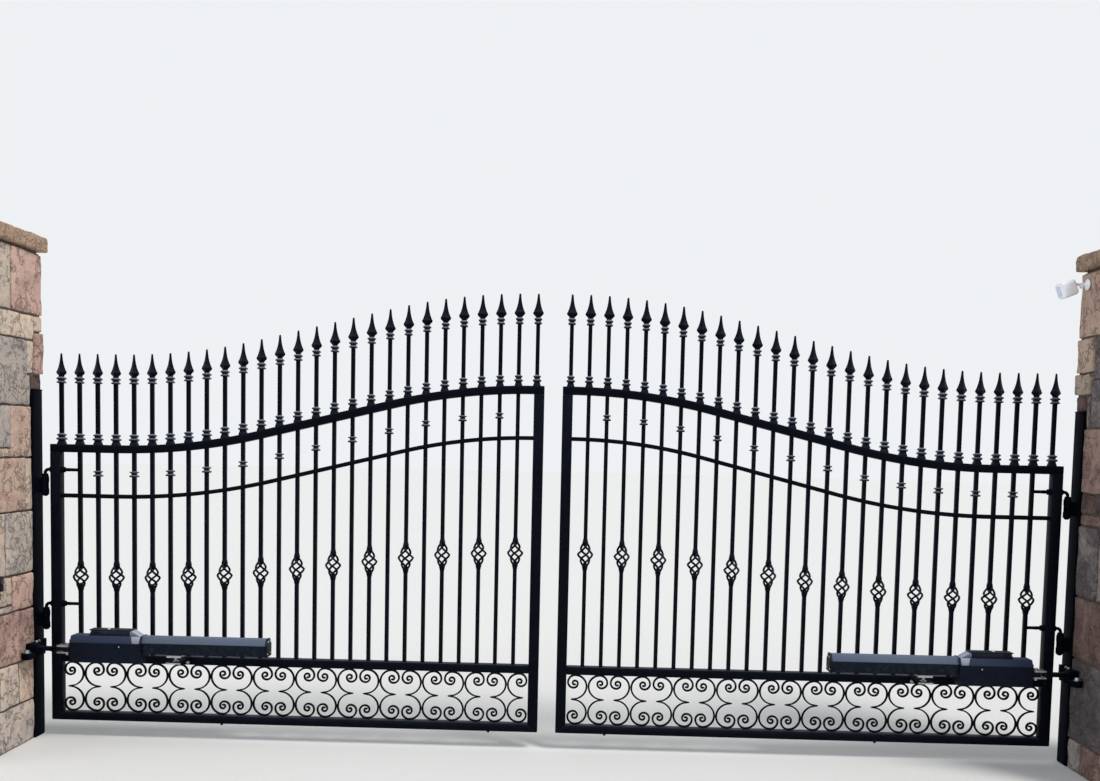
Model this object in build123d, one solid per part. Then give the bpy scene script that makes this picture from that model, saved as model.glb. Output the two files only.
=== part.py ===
# Double-leaf driveway gate between two stone piers, with a linear operator on each leaf.
# X runs across the gateway, +Y points away from the photographer, Z is up, millimetres.
# The right-hand half is modelled on the +X side and mirrored for the left-hand half.
import os
from math import cos, pi, radians, sin, sqrt, tan

from build123d import *

# Piers
pier_width = 610.0
pier_depth = 610.0
pier_height = 2405.0
cap_thickness = 85.0
cap_overhang = 25.0
cap_chamfer = 17.0

# Steel hinge posts, each in a chase at the back inner corner of its pier
post_size = 100.0
post_wall = 5.0
post_height = 1740.0
post_inset = 10.0
chase_clearance = 65.0

# Gate leaves
leaf_width = 2440.0
centre_gap = 90.0
hinge_gap = 70.0
ground_gap = 90.0
height_at_centre = 1717.0
height_at_hinge = 1382.0
frame_depth = 50.0
stile_width = 50.0
frame_wall = 3.0
rail_height = 40.0
scroll_height = 255.0
flat_at_centre = 55.0
flat_at_hinge = 335.0
curve_slope = 14.0
arch_drop = 245.0
arch_height = 20.0
arch_depth = 30.0
arch_wall = 3.0

# Pickets, with a collar or a basket on each
picket_count = 25
picket_size = 19.0
first_picket_gap = 78.0
punch_clearance = 0.2
collar_size = 42.0
collar_height = 36.0
basket_height = 157.0
basket_radius = 34.0
basket_wire = 7.0
basket_wires = 4
basket_twist = 290.0
basket_segments = 4
plug_length = 22.0
plug_width = 28.0

# Spears, one over each picket and stile, all at the pickets' pitch
foot_width = 44.0
foot_skirt = 12.0
knuckle_width = 40.0
knuckle_height = 50.0
spear_bar_top = 300.0
spear_collar_width = 38.0
spear_collar_height = 36.0
spear_width = 51.0
spear_shoulder = 364.0
tip_width = 5.0
tip_height = 446.0

# Scrolls under the middle rail
scroll_pairs = 11
scroll_bar = 8.0
scroll_gap = 0.4
scroll_start = 265.0
scroll_radii = (57.0, 40.0, 29.0, 22.0, 15.0)
scroll_turns = (175.0, 90.0, 100.0, 120.0, 170.0)
scroll_facets = (4, 2, 2, 2, 3)
scroll_stub = 84.0

# Hinges
hinge_heights = [675.0, 1345.0]
bolt_diameter = 16.0
pin_clearance = 0.05
barrel_diameter = 36.0
barrel_length = 90.0
barrel_drop = 35.0
pin_tail = 8.0
bend_size = 18.0
hole_clearance = 0.2
washer_diameter = 34.0
washer_thickness = 6.0
gusset_thickness = 16.0
gusset_height = 70.0

# Operators
operator_offset = 130.0
pivot_inset = 165.0
operator_height = 470.0
housing_gap = 32.0
housing_length = 348.0
housing_width = 110.0
housing_height = 130.0
housing_bottom = 415.0
housing_chamfer = 18.0
shoulder_length = 61.0
cover_length = 198.0
cover_width = 68.0
cover_height = 30.0
cover_draft = 8.0
tube_length = 605.0
tube_size = 84.0
tube_wall = 4.0
tube_chamfer = 22.0
tube_slot = 20.0
end_cap_thickness = 10.0
end_cap_lip = 3.0
screw_diameter = 20.0
nut_block = 50.0
nut_length = 70.0
neck_width = 12.0
foot_plate_width = 60.0
foot_plate_thickness = 10.0
slider_clearance = 6.0
pivot_pin = 14.0
carriage_pin = 16.0
carriage_hole = 18.0
carriage_reach = 700.0
bracket_gap = 6.0
lug_size = 40.0
lug_depth = 24.0
lug_chamfer = 10.0
arm_thickness = 8.0
arm_nose = 95.0
block_height = 60.0
gate_plate_thickness = 8.0
gate_plate_width = 80.0
gate_plate_chamfer = 22.0
gate_plate_inset = 3.0

# Lamp on the right pier
lamp_y = 227.0
lamp_drop = 60.0
lamp_foot_diameter = 52.0
lamp_foot_depth = 18.0
lamp_arm_diameter = 14.0
lamp_arm_length = 50.0
lamp_head = (76.0, 80.0, 74.0)
lamp_head_chamfer = 14.0
lamp_head_drop = 24.0
lamp_tilt = 20.0

# Photo cells, one on the inner face of each pier
cell_y = -180.0
cell_z = 821.0
cell_size = (30.0, 50.0, 76.0)
cell_chamfer = 7.0

gate_y = pier_depth / 2 - post_inset - post_size / 2
post_front = gate_y - post_size / 2
leaf_start = centre_gap / 2
leaf_end = leaf_start + leaf_width
post_face = leaf_end + hinge_gap
hinge_x = leaf_end + hinge_gap / 2
inner_start = leaf_start + stile_width
inner_end = leaf_end - stile_width
picket_pitch = (inner_end - inner_start - first_picket_gap) / picket_count
centre_top = ground_gap + height_at_centre
hinge_top = ground_gap + height_at_hinge
mid_bottom = ground_gap + rail_height + scroll_height
mid_top = mid_bottom + rail_height
picket_xs = [inner_start + first_picket_gap + picket_pitch * i for i in range(picket_count)]
lamp_z = pier_height - lamp_drop
spear_xs = [picket_xs[0] - picket_pitch] + picket_xs + [picket_xs[-1] + picket_pitch]

slope = radians(curve_slope)
curve_start = leaf_start + flat_at_centre
curve_end = leaf_end - flat_at_hinge
curve_run = curve_end - curve_start
curve_rise = centre_top - hinge_top
curve_radius = (curve_run * tan(slope) - curve_rise) / (2 * (sin(slope) * tan(slope) - 1 + cos(slope)))


def box(x0, x1, y0, y1, z0, z1):
    """A box between two opposite corners, written the way it is measured."""
    return Pos((x0 + x1) / 2, (y0 + y1) / 2, (z0 + z1) / 2) * Box(abs(x1 - x0), abs(y1 - y0), abs(z1 - z0))


def post_bar(x, y, width, depth, z0, z1):
    """An upright bar centred on x and y."""
    return box(x - width / 2, x + width / 2, y - depth / 2, y + depth / 2, z0, z1)


def rod(x, y, diameter, z0, z1):
    return Pos(x, y, (z0 + z1) / 2) * Cylinder(diameter / 2, z1 - z0)


def rod_x(x0, x1, y, z, diameter):
    return Pos((x0 + x1) / 2, y, z) * Rot(0, 90, 0) * Cylinder(diameter / 2, x1 - x0)


def side_plate(points, y, depth):
    """A plate seen from the front, with its outline in X and Z, centred on y."""
    return Pos(0, y, 0) * extrude(Plane.XZ * make_face(Polyline(*points, close=True)), depth / 2, both=True)


def four_sided(outline):
    """A square bar whose half width changes with height as the outline's (half width, height) says."""
    points = outline + [(-half, z) for half, z in reversed(outline)]
    face = make_face(Polyline(*points, close=True))
    reach = 2 * max(half for half, z in outline)
    return extrude(Plane.XZ * face, reach, both=True) & extrude(Plane.YZ * face, reach, both=True)


def upper_arc_point(angle, radius):
    return curve_start + radius * sin(angle), centre_top - curve_radius + radius * cos(angle)


def lower_arc_point(angle, radius):
    return curve_end - radius * sin(angle), hinge_top + curve_radius - radius * cos(angle)


def curve_height(x, drop):
    """Height of the line that lies drop below the top of the leaf, at x."""
    near, far = curve_radius - drop, curve_radius + drop
    x1, z1 = upper_arc_point(slope, near)
    x2, z2 = lower_arc_point(slope, far)
    if x <= curve_start:
        return centre_top - drop
    if x <= x1:
        return centre_top - curve_radius + sqrt(near**2 - (x - curve_start) ** 2)
    if x < x2:
        return z1 + (z2 - z1) * (x - x1) / (x2 - x1)
    if x < curve_end:
        return hinge_top + curve_radius - sqrt(far**2 - (curve_end - x) ** 2)
    return hinge_top - drop


def curve_edges(drop, x0, x1):
    """The flat, arc, slope, arc and flat of the leaf's top, lowered by drop."""
    near, far = curve_radius - drop, curve_radius + drop
    upper = [upper_arc_point(a, near) for a in (0, slope / 2, slope)]
    lower = [lower_arc_point(a, far) for a in (slope, slope / 2, 0)]
    return [
        Line((x0, centre_top - drop), upper[0]),
        ThreePointArc(*upper),
        Line(upper[2], lower[0]),
        ThreePointArc(*lower),
        Line(lower[2], (x1, hinge_top - drop)),
    ]


def curve_band(drop, height, depth, x0, x1):
    """A bar that follows the leaf's top, drop below it."""
    top = curve_edges(drop, x0, x1)
    bottom = curve_edges(drop + height, x0, x1)
    ends = [
        Line((x0, centre_top - drop), (x0, centre_top - drop - height)),
        Line((x1, hinge_top - drop), (x1, hinge_top - drop - height)),
    ]
    face = make_face(Wire(top + bottom + ends))
    return Pos(0, gate_y, 0) * extrude(Plane.XZ * face, depth / 2, both=True)


def make_pier():
    x0 = post_face
    pier = box(x0, x0 + pier_width, -pier_depth / 2, pier_depth / 2, 0, pier_height)
    chase = box(x0, x0 + post_size, post_front, pier_depth / 2, 0, post_height + chase_clearance)
    return pier - chase


def make_pier_cap():
    width, depth = pier_width + 2 * cap_overhang, pier_depth + 2 * cap_overhang
    slab = Box(width, depth, cap_thickness, align=(Align.CENTER, Align.CENTER, Align.MIN))
    slab = chamfer(slab.edges().group_by(Axis.Z)[-1], cap_chamfer)
    return Pos(post_face + pier_width / 2, 0, pier_height) * slab


def make_photo_cell():
    depth, width, height = cell_size
    cell = Pos(-depth / 2, 0, 0) * Box(depth, width, height)
    cell = chamfer(cell.faces().sort_by(Axis.X)[0].edges(), cell_chamfer)
    return Pos(post_face, cell_y, cell_z) * cell


def make_hinge_post():
    """A square post with the two hinge barrels welded to its inner face."""
    x = post_face + post_size / 2
    bore = post_size - 2 * post_wall
    post = post_bar(x, gate_y, post_size, post_size, 0, post_height)
    post -= post_bar(x, gate_y, bore, bore, 0, post_height - post_wall)
    for height in hinge_heights:
        top = height - barrel_drop
        middle = top - barrel_length / 2
        post += box(hinge_x, post_face, gate_y - gusset_thickness / 2, gate_y + gusset_thickness / 2,
                    middle - gusset_height / 2, middle + gusset_height / 2)
        post += rod(hinge_x, gate_y, barrel_diameter, top - barrel_length, top)
        post -= rod(hinge_x, gate_y, bolt_diameter + 2 * pin_clearance, top - barrel_length, top)
    return post


def make_hinge_bolts():
    """J-bolts: a bar that hangs in the barrel, turns the corner and runs through the stile."""
    bolts = []
    shank_end = picket_xs[-1] + picket_size / 2
    for height in hinge_heights:
        barrel_top = height - barrel_drop
        foot = barrel_top - barrel_length - pin_tail
        path = Polyline((hinge_x, foot), (hinge_x, height - bend_size), (hinge_x - bend_size, height),
                        (shank_end, height))
        section = Pos(hinge_x, gate_y, foot) * Circle(bolt_diameter / 2)
        bar = sweep(section, Pos(0, gate_y, 0) * (Plane.XZ * path), transition=Transition.RIGHT)
        bolts.append(bar + rod(hinge_x, gate_y, washer_diameter, barrel_top, barrel_top + washer_thickness))
    return Compound(children=bolts)


def mitre_wedge(x, inward):
    """Cuts the foot of a stile to the corner's diagonal."""
    corner = [(x, ground_gap), (x + inward * stile_width, ground_gap),
              (x + inward * stile_width, ground_gap + rail_height)]
    return side_plate(corner, gate_y, 2 * frame_depth)


def make_stile(x0, x1, top, corner, inward):
    x = (x0 + x1) / 2
    tube = post_bar(x, gate_y, stile_width, frame_depth, ground_gap, top - rail_height)
    bore_x, bore_y = stile_width - 2 * frame_wall, frame_depth - 2 * frame_wall
    bore = post_bar(x, gate_y, bore_x, bore_y, ground_gap, top - rail_height)
    return (tube - bore) - mitre_wedge(corner, inward)


def make_outer_stile():
    stile = make_stile(inner_end, leaf_end, hinge_top, leaf_end, -1)
    for height in hinge_heights:
        stile -= rod_x(inner_end, leaf_end, gate_y, height, bolt_diameter + 2 * hole_clearance)
    return stile


def make_inner_stile():
    return make_stile(leaf_start, inner_start, centre_top, leaf_start, 1)


def make_bottom_rail():
    z0, z1 = ground_gap, ground_gap + rail_height
    bore_half = frame_depth / 2 - frame_wall
    corners = [(leaf_start, z0), (leaf_end, z0), (inner_end, z1), (inner_start, z1)]
    bore = box(leaf_start, leaf_end, gate_y - bore_half, gate_y + bore_half, z0 + frame_wall, z1 - frame_wall)
    return side_plate(corners, gate_y, frame_depth) - bore


def make_mid_rail():
    half, bore_half = frame_depth / 2, frame_depth / 2 - frame_wall
    rail = box(inner_start, inner_end, gate_y - half, gate_y + half, mid_bottom, mid_top)
    return rail - box(inner_start, inner_end, gate_y - bore_half, gate_y + bore_half,
                      mid_bottom + frame_wall, mid_top - frame_wall)


def make_top_rail():
    bore_depth = frame_depth - 2 * frame_wall
    rail = curve_band(0, rail_height, frame_depth, leaf_start, leaf_end)
    rail -= curve_band(frame_wall, rail_height - 2 * frame_wall, bore_depth,
                       leaf_start + frame_wall, leaf_end - frame_wall)
    for x, top in ((leaf_start, centre_top), (inner_end, hinge_top)):
        rail -= post_bar(x + stile_width / 2, gate_y, stile_width - 2 * frame_wall, bore_depth,
                         top - rail_height, top - frame_wall)
    return rail


def make_arch_rail():
    """A punched channel, open below, that every picket passes through."""
    rail = curve_band(arch_drop, arch_height, arch_depth, inner_start, inner_end)
    rail -= curve_band(arch_drop + arch_wall, arch_height, arch_depth - 2 * arch_wall,
                       inner_start, inner_end)
    hole = picket_size + 2 * punch_clearance
    for x in picket_xs:
        z = curve_height(x, arch_drop)
        rail -= post_bar(x, gate_y, hole, hole, z - arch_height, z + arch_height)
    return rail


def basket_centre(x):
    return (curve_height(x, arch_drop + arch_height) + mid_top) / 2


basket_half = basket_height / 2 - plug_length


def plain_picket(x, top):
    """A bar with its collar half-way between the top rail and the arch rail."""
    z = (curve_height(x, rail_height) + curve_height(x, arch_drop)) / 2
    bar = post_bar(x, gate_y, picket_size, picket_size, mid_top, top)
    return bar + post_bar(x, gate_y, collar_size, collar_size, z - collar_height / 2, z + collar_height / 2)


def basket_picket(x, top):
    """Two bars whose facing ends flare into the plugs that hold the basket's wires."""
    z, thin, wide = basket_centre(x), picket_size / 2, plug_width / 2
    lower = [(thin, mid_top), (thin, z - basket_half - plug_length), (wide, z - basket_half)]
    upper = [(wide, z + basket_half), (thin, z + basket_half + plug_length), (thin, top)]
    return Pos(x, gate_y, 0) * (four_sided(lower) + four_sided(upper))


def make_pickets():
    """All pickets of a leaf, cut off along the underside of the top rail."""
    rail = curve_band(0, rail_height, 2 * frame_depth, leaf_start, leaf_end)
    bars = []
    for i, x in enumerate(picket_xs):
        top = curve_height(x, rail_height / 2)
        bar = plain_picket(x, top) if i % 2 else basket_picket(x, top)
        bars += (bar - rail).solids()
    return Compound(children=bars)


def basket_strand(turn):
    """One wire of a basket: it leaves the lower plug, bulges and twists, and ends in the upper plug."""
    reach = (plug_width - basket_wire) / 2
    corners = []
    for i in range(basket_segments + 1):
        t = i / basket_segments
        radius = basket_radius - (basket_radius - reach) * abs(2 * t - 1)
        angle = radians(turn + basket_twist * (t - 0.5))
        corners.append(Vector(radius * cos(angle), radius * sin(angle), basket_half * (2 * t - 1)))
    run_in = (corners[0] - corners[1]).normalized() * basket_wire
    run_out = (corners[-1] - corners[-2]).normalized() * basket_wire
    path = Polyline(corners[0] + run_in, *corners[1:-1], corners[-1] + run_out)
    section = Plane(origin=path @ 0, z_dir=path % 0) * Rectangle(basket_wire, basket_wire)
    strand = sweep(section, path, transition=Transition.RIGHT)
    return strand & Box(4 * basket_radius, 4 * basket_radius, 2 * basket_half)


def make_baskets():
    strands = [basket_strand(360 / basket_wires * k) for k in range(basket_wires)]
    baskets = []
    for x in picket_xs[::2]:
        baskets += [Pos(x, gate_y, basket_centre(x)) * strand for strand in strands]
    return Compound(children=baskets)


def make_spears():
    """Foot, bar, collar and point in one, each foot cut to the slope it stands on."""
    bar, collar_top = picket_size / 2, spear_bar_top + spear_collar_height
    outline = [
        (foot_width / 2, -foot_skirt), (knuckle_width / 2, knuckle_height), (bar, knuckle_height),
        (bar, spear_bar_top), (spear_collar_width / 2, spear_bar_top), (spear_collar_width / 2, collar_top),
        (spear_width / 2, spear_shoulder), (tip_width / 2, tip_height),
    ]
    spear = four_sided(outline)
    below = curve_band(0, 4 * foot_skirt, 2 * foot_width, leaf_start, leaf_end)
    spears = []
    for x in spear_xs:
        spears += (Pos(x, gate_y, curve_height(x, 0)) * spear - below).solids()
    return Compound(children=spears)


def scroll_arcs():
    """Centre, radius, first angle, last angle and facets of the arcs in the upper half of a scroll."""
    outer = scroll_bar / 2
    radius, angle = scroll_radii[0], scroll_start
    u = outer + scroll_gap / 2 + radius
    v = scroll_height / 2 - outer - scroll_gap / 2 - radius
    arcs = []
    for next_radius, turn, facets in zip(scroll_radii, scroll_turns, scroll_facets):
        u += (radius - next_radius) * cos(radians(angle))
        v += (radius - next_radius) * sin(radians(angle))
        arcs.append((u, v, next_radius, angle, angle - turn, facets))
        radius, angle = next_radius, angle - turn
    return arcs


def scroll_line():
    """Points and outward directions along the upper half of a scroll."""
    line = []
    for u, v, radius, first, last, facets in scroll_arcs():
        for k in range(1 if line else 0, facets + 1):
            a = radians(first + (last - first) * k / facets)
            line.append((u + radius * cos(a), v + radius * sin(a), cos(a), sin(a)))
    return line


def make_scroll():
    """One scroll: two volutes that part from a stub at half height."""
    half = scroll_bar / 2
    line = scroll_line()
    outside = [(u + half * a, v + half * b) for u, v, a, b in line]
    inside = [(u - half * a, v - half * b) for u, v, a, b in line]
    stub = [(scroll_stub, half), (scroll_stub, 0)]
    volute = side_plate([(outside[0][0], 0)] + outside + inside[::-1] + stub, 0, scroll_bar)
    return volute + mirror(volute, Plane.XY)


def make_scrolls():
    """Pairs of scrolls back to back, which leaves one open scroll's room at each stile."""
    scroll = make_scroll()
    other = mirror(scroll, Plane.YZ)
    middle = ground_gap + rail_height + scroll_height / 2
    pitch = (inner_end - inner_start) / scroll_pairs
    scrolls = []
    for i in range(scroll_pairs):
        back = inner_start + pitch * (i + 0.5)
        scrolls.append(Pos(back, gate_y, middle) * scroll)
        scrolls.append(Pos(back, gate_y, middle) * other)
    return Compound(children=scrolls)


operator_y = gate_y - operator_offset
pivot_x = hinge_x - pivot_inset
housing_end = pivot_x - housing_gap
housing_start = housing_end - housing_length
housing_top = housing_bottom + housing_height
cover_start = housing_start + shoulder_length
tube_start = housing_start - tube_length
tube_bottom = housing_top - tube_size
carriage_x = hinge_x - carriage_reach
foot_plate_bottom = tube_bottom - slider_clearance - foot_plate_thickness
gate_plate_top = mid_top - gate_plate_inset


def along_operator(face, x0, x1):
    """A face drawn across the operator, in Y and Z, drawn out along it."""
    return Pos(x0, operator_y, 0) * extrude(Plane.YZ * face, x1 - x0)


def bracket_plate(z, front):
    """An arm out to the pivot and a leg along the post's face, from front to the block."""
    half = lug_size / 2
    arm = box(pivot_x - half, post_face, operator_y - half, operator_y + half, z, z + arm_thickness)
    arm = chamfer(arm.edges().filter_by(Axis.Z).group_by(Axis.X)[0], lug_chamfer)
    return arm + box(post_face - lug_size, post_face, front, post_front + lug_size, z, z + arm_thickness)


def make_operator_bracket():
    """Two plates welded to a block on the post, with the pin between them that carries the operator."""
    low, high = operator_height - lug_depth / 2 - arm_thickness, operator_height + lug_depth / 2
    nose_y = operator_y - arm_nose
    bracket = bracket_plate(low, nose_y) + bracket_plate(high, operator_y - lug_size / 2)
    bracket += rod(post_face - lug_size / 2, nose_y, lug_size, low, low + arm_thickness)
    bracket += box(post_face - lug_size, post_face, post_front, post_front + lug_size,
                   operator_height - block_height / 2, operator_height + block_height / 2)
    return bracket + rod(pivot_x, operator_y, pivot_pin, low, high + arm_thickness)


def housing_section():
    """Across the housing: upright sides, chamfered shoulders and the narrower hump above them."""
    half, flat, hump = housing_width / 2, housing_width / 2 - housing_chamfer, cover_width / 2
    side = [(half, housing_bottom), (half, housing_top - housing_chamfer), (flat, housing_top),
            (hump, housing_top), (hump - cover_draft, housing_top + cover_height)]
    return make_face(Polyline(*side, *[(-y, z) for y, z in reversed(side)], close=True))


def housing_body(points):
    """The part of the housing's section that a side view's outline keeps."""
    return side_plate(points, operator_y, 2 * housing_width) & along_operator(
        housing_section(), housing_start, housing_end)


def make_housing():
    """Motor housing with a shoulder that slopes down to the tube, and the lug that turns on the pin."""
    body = housing_body([
        (housing_start, housing_bottom), (housing_end, housing_bottom), (housing_end, housing_top),
        (cover_start, housing_top), (cover_start, housing_top + cover_height), (housing_start, housing_top)])
    half, low = lug_size / 2, operator_height - lug_depth / 2
    lug = box(pivot_x + half, housing_end, operator_y - half, operator_y + half, low, low + lug_depth)
    lug = chamfer(lug.edges().filter_by(Axis.Z).group_by(Axis.X)[-1], lug_chamfer)
    return body + lug - rod(pivot_x, operator_y, pivot_pin + 2 * pin_clearance, low, low + lug_depth)


def make_release_cover():
    cover_end = cover_start + cover_length
    return housing_body([
        (cover_start, housing_top), (cover_end, housing_top),
        (cover_end - cover_draft, housing_top + cover_height), (cover_start, housing_top + cover_height)])


def tube_outline(inset):
    """A square with its two upper corners cut off, inset from the tube's outside."""
    half = tube_size / 2 - inset
    cut = tube_chamfer - inset * (2 - sqrt(2))
    z0, z1 = tube_bottom + inset, tube_bottom + tube_size - inset
    side = [(half, z0), (half, z1 - cut), (half - cut, z1)]
    return make_face(Polyline(*side, *[(-y, z) for y, z in reversed(side)], close=True))


def make_tube():
    """A square tube with a slot along its underside for the carriage."""
    tube = along_operator(tube_outline(0), tube_start, housing_start)
    tube -= along_operator(tube_outline(tube_wall), tube_start, housing_start)
    return tube - box(tube_start, housing_start, operator_y - tube_slot / 2, operator_y + tube_slot / 2,
                      tube_bottom, tube_bottom + tube_wall)


def make_end_cap():
    return along_operator(tube_outline(-end_cap_lip), tube_start - end_cap_thickness, tube_start)


def make_drive_screw():
    return rod_x(tube_start, housing_start, operator_y, tube_bottom + tube_size / 2, screw_diameter)


def make_carriage():
    """A nut on the screw, a neck through the slot, and a foot whose pin drives the leaf."""
    z = tube_bottom + tube_size / 2
    x0, x1 = carriage_x - nut_length / 2, carriage_x + nut_length / 2
    block = box(x0, x1, operator_y - nut_block / 2, operator_y + nut_block / 2, z - nut_block / 2,
                z + nut_block / 2)
    neck = box(x0, x1, operator_y - neck_width / 2, operator_y + neck_width / 2, foot_plate_bottom,
               z - nut_block / 2)
    foot = box(x0, x1, operator_y - foot_plate_width / 2, operator_y + foot_plate_width / 2,
               foot_plate_bottom, foot_plate_bottom + foot_plate_thickness)
    pin = rod(carriage_x, operator_y, carriage_pin, gate_plate_top + bracket_gap, foot_plate_bottom)
    return block + neck + foot + pin - rod_x(x0, x1, operator_y, z, screw_diameter + 2 * pin_clearance)


def make_gate_bracket():
    """A plate on the middle rail with a shelf, whose hole lines up with the carriage's pin."""
    half, low = gate_plate_width / 2, gate_plate_top - gate_plate_thickness
    face_y = gate_y - frame_depth / 2
    upright = box(carriage_x - half, carriage_x + half, face_y - gate_plate_thickness, face_y,
                  mid_bottom + gate_plate_inset, gate_plate_top)
    shelf = box(carriage_x - half, carriage_x + half, operator_y - half, face_y, low, gate_plate_top)
    shelf = chamfer(shelf.edges().filter_by(Axis.Z).group_by(Axis.Y)[0], gate_plate_chamfer)
    return upright + shelf - rod(carriage_x, operator_y, carriage_hole, low, gate_plate_top)


def make_lamp():
    """A lamp with a tilted head on a short arm, under the cap of the right pier."""
    foot_x, head_x = post_face - lamp_foot_depth, post_face - lamp_foot_depth - lamp_arm_length
    foot = Cone(lamp_arm_diameter / 2, lamp_foot_diameter / 2, lamp_foot_depth)
    foot = Pos(post_face - lamp_foot_depth / 2, lamp_y, lamp_z) * Rot(0, 90, 0) * foot
    arm = rod_x(head_x, foot_x, lamp_y, lamp_z, lamp_arm_diameter)
    head = Box(*lamp_head)
    head = chamfer(head.edges(), lamp_head_chamfer)
    head = Pos(head_x - lamp_head[0] / 2 + lamp_arm_diameter / 2, lamp_y, lamp_z - lamp_head_drop) * (
        Rot(0, -lamp_tilt, 0) * head)
    return foot + arm + head


half_pieces = {
    "pier": make_pier,
    "pier_cap": make_pier_cap,
    "photo_cell": make_photo_cell,
    "hinge_post": make_hinge_post,
    "operator_bracket": make_operator_bracket,
    "outer_stile": make_outer_stile,
    "inner_stile": make_inner_stile,
    "bottom_rail": make_bottom_rail,
    "mid_rail": make_mid_rail,
    "top_rail": make_top_rail,
    "arch_rail": make_arch_rail,
    "pickets": make_pickets,
    "baskets": make_baskets,
    "spears": make_spears,
    "scrolls": make_scrolls,
    "hinge_bolts": make_hinge_bolts,
    "gate_bracket": make_gate_bracket,
    "operator_housing": make_housing,
    "release_cover": make_release_cover,
    "operator_tube": make_tube,
    "tube_end_cap": make_end_cap,
    "drive_screw": make_drive_screw,
    "carriage": make_carriage,
}

os.makedirs("parts", exist_ok=True)
for name, make in half_pieces.items():
    piece = make()
    export_step(piece, f"parts/{name}_right.step")
    export_step(mirror(piece, Plane.YZ), f"parts/{name}_left.step")
export_step(make_lamp(), "parts/pier_lamp.step")
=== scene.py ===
import math
import random

import bmesh
import bpy
from mathutils import Matrix, Vector, noise


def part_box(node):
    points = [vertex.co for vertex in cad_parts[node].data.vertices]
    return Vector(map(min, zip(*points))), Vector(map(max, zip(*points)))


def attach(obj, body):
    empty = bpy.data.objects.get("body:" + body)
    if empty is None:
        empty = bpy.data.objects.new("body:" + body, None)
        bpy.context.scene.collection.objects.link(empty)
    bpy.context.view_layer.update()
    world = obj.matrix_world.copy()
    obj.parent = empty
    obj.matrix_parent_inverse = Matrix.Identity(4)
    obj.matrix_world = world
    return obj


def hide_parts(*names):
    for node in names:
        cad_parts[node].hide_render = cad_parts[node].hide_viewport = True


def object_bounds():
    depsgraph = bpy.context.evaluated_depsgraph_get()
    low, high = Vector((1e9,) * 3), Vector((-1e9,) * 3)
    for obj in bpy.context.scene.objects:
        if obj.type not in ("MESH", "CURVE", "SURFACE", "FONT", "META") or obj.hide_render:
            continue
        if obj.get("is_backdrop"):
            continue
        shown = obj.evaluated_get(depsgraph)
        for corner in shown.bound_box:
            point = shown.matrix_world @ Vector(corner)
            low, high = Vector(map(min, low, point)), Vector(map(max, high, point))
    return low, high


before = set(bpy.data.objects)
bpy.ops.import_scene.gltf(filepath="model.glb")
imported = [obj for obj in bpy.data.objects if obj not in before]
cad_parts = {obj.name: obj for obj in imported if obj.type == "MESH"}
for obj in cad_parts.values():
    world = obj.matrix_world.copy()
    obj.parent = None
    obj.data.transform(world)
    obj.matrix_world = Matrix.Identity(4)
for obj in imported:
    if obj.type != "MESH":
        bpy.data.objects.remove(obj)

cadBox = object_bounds()
sides = {"right": 1, "left": -1}   # everything is modelled on the right and mirrored

# the leaf's own measures, metres
leaf = {
    "start": 0.045, "end": 2.485, "y": 0.245, "depth": 0.050, "stile": 0.050, "rail": 0.040,
    "bottom": 0.090, "midBottom": 0.385, "midTop": 0.425, "centreTop": 1.807, "hingeTop": 1.472,
    "curveStart": 0.100, "curveEnd": 2.150, "slope": 14.0, "archDrop": 0.245, "archHeight": 0.020,
    "pickets": 25, "firstGap": 0.078, "bar": 0.0095, "hingeX": 2.520, "postFace": 2.555,
}
innerStart, innerEnd = leaf["start"] + leaf["stile"], leaf["end"] - leaf["stile"]
pitch = (innerEnd - innerStart - leaf["firstGap"]) / leaf["pickets"]
picketXs = [innerStart + leaf["firstGap"] + pitch * i for i in range(leaf["pickets"])]
spearXs = [picketXs[0] - pitch] + picketXs + [picketXs[-1] + pitch]

slope = math.radians(leaf["slope"])
rise = leaf["centreTop"] - leaf["hingeTop"]
run = leaf["curveEnd"] - leaf["curveStart"]
curveRadius = (run * math.tan(slope) - rise) / (2 * (math.sin(slope) * math.tan(slope) - 1 + math.cos(slope)))


def curveHeight(x, drop=0.0):
    # height of the line that runs drop below the top of the leaf
    near, far = curveRadius - drop, curveRadius + drop
    x1 = leaf["curveStart"] + near * math.sin(slope)
    z1 = leaf["centreTop"] - curveRadius + near * math.cos(slope)
    x2 = leaf["curveEnd"] - far * math.sin(slope)
    z2 = leaf["hingeTop"] + curveRadius - far * math.cos(slope)
    if x <= leaf["curveStart"]:
        return leaf["centreTop"] - drop
    if x <= x1:
        return leaf["centreTop"] - curveRadius + math.sqrt(near ** 2 - (x - leaf["curveStart"]) ** 2)
    if x < x2:
        return z1 + (z2 - z1) * (x - x1) / (x2 - x1)
    if x < leaf["curveEnd"]:
        return leaf["hingeTop"] + curveRadius - math.sqrt(far ** 2 - (leaf["curveEnd"] - x) ** 2)
    return leaf["hingeTop"] - drop


# shader helpers

def addNode(tree, kind, inputs=None, **settings):
    node = tree.nodes.new(kind)
    for key, value in settings.items():
        setattr(node, key, value)
    for key, value in (inputs or {}).items():
        if isinstance(value, bpy.types.NodeSocket):
            tree.links.new(value, node.inputs[key])
        else:
            node.inputs[key].default_value = value
    return node


def mixColor(tree, factor, a, b, blend="MIX"):
    node = addNode(tree, "ShaderNodeMix", {0: factor, 6: a, 7: b}, data_type="RGBA", blend_type=blend)
    return node.outputs[2]


def mathNode(tree, operation, first, *others):
    for other in others:
        first = addNode(tree, "ShaderNodeMath", {0: first, 1: other}, operation=operation).outputs[0]
    return first


def remap(tree, value, low, high, toLow=0.0, toHigh=1.0):
    return addNode(tree, "ShaderNodeMapRange", {"Value": value, "From Min": low, "From Max": high,
                                                "To Min": toLow, "To Max": toHigh}).outputs["Result"]


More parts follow.
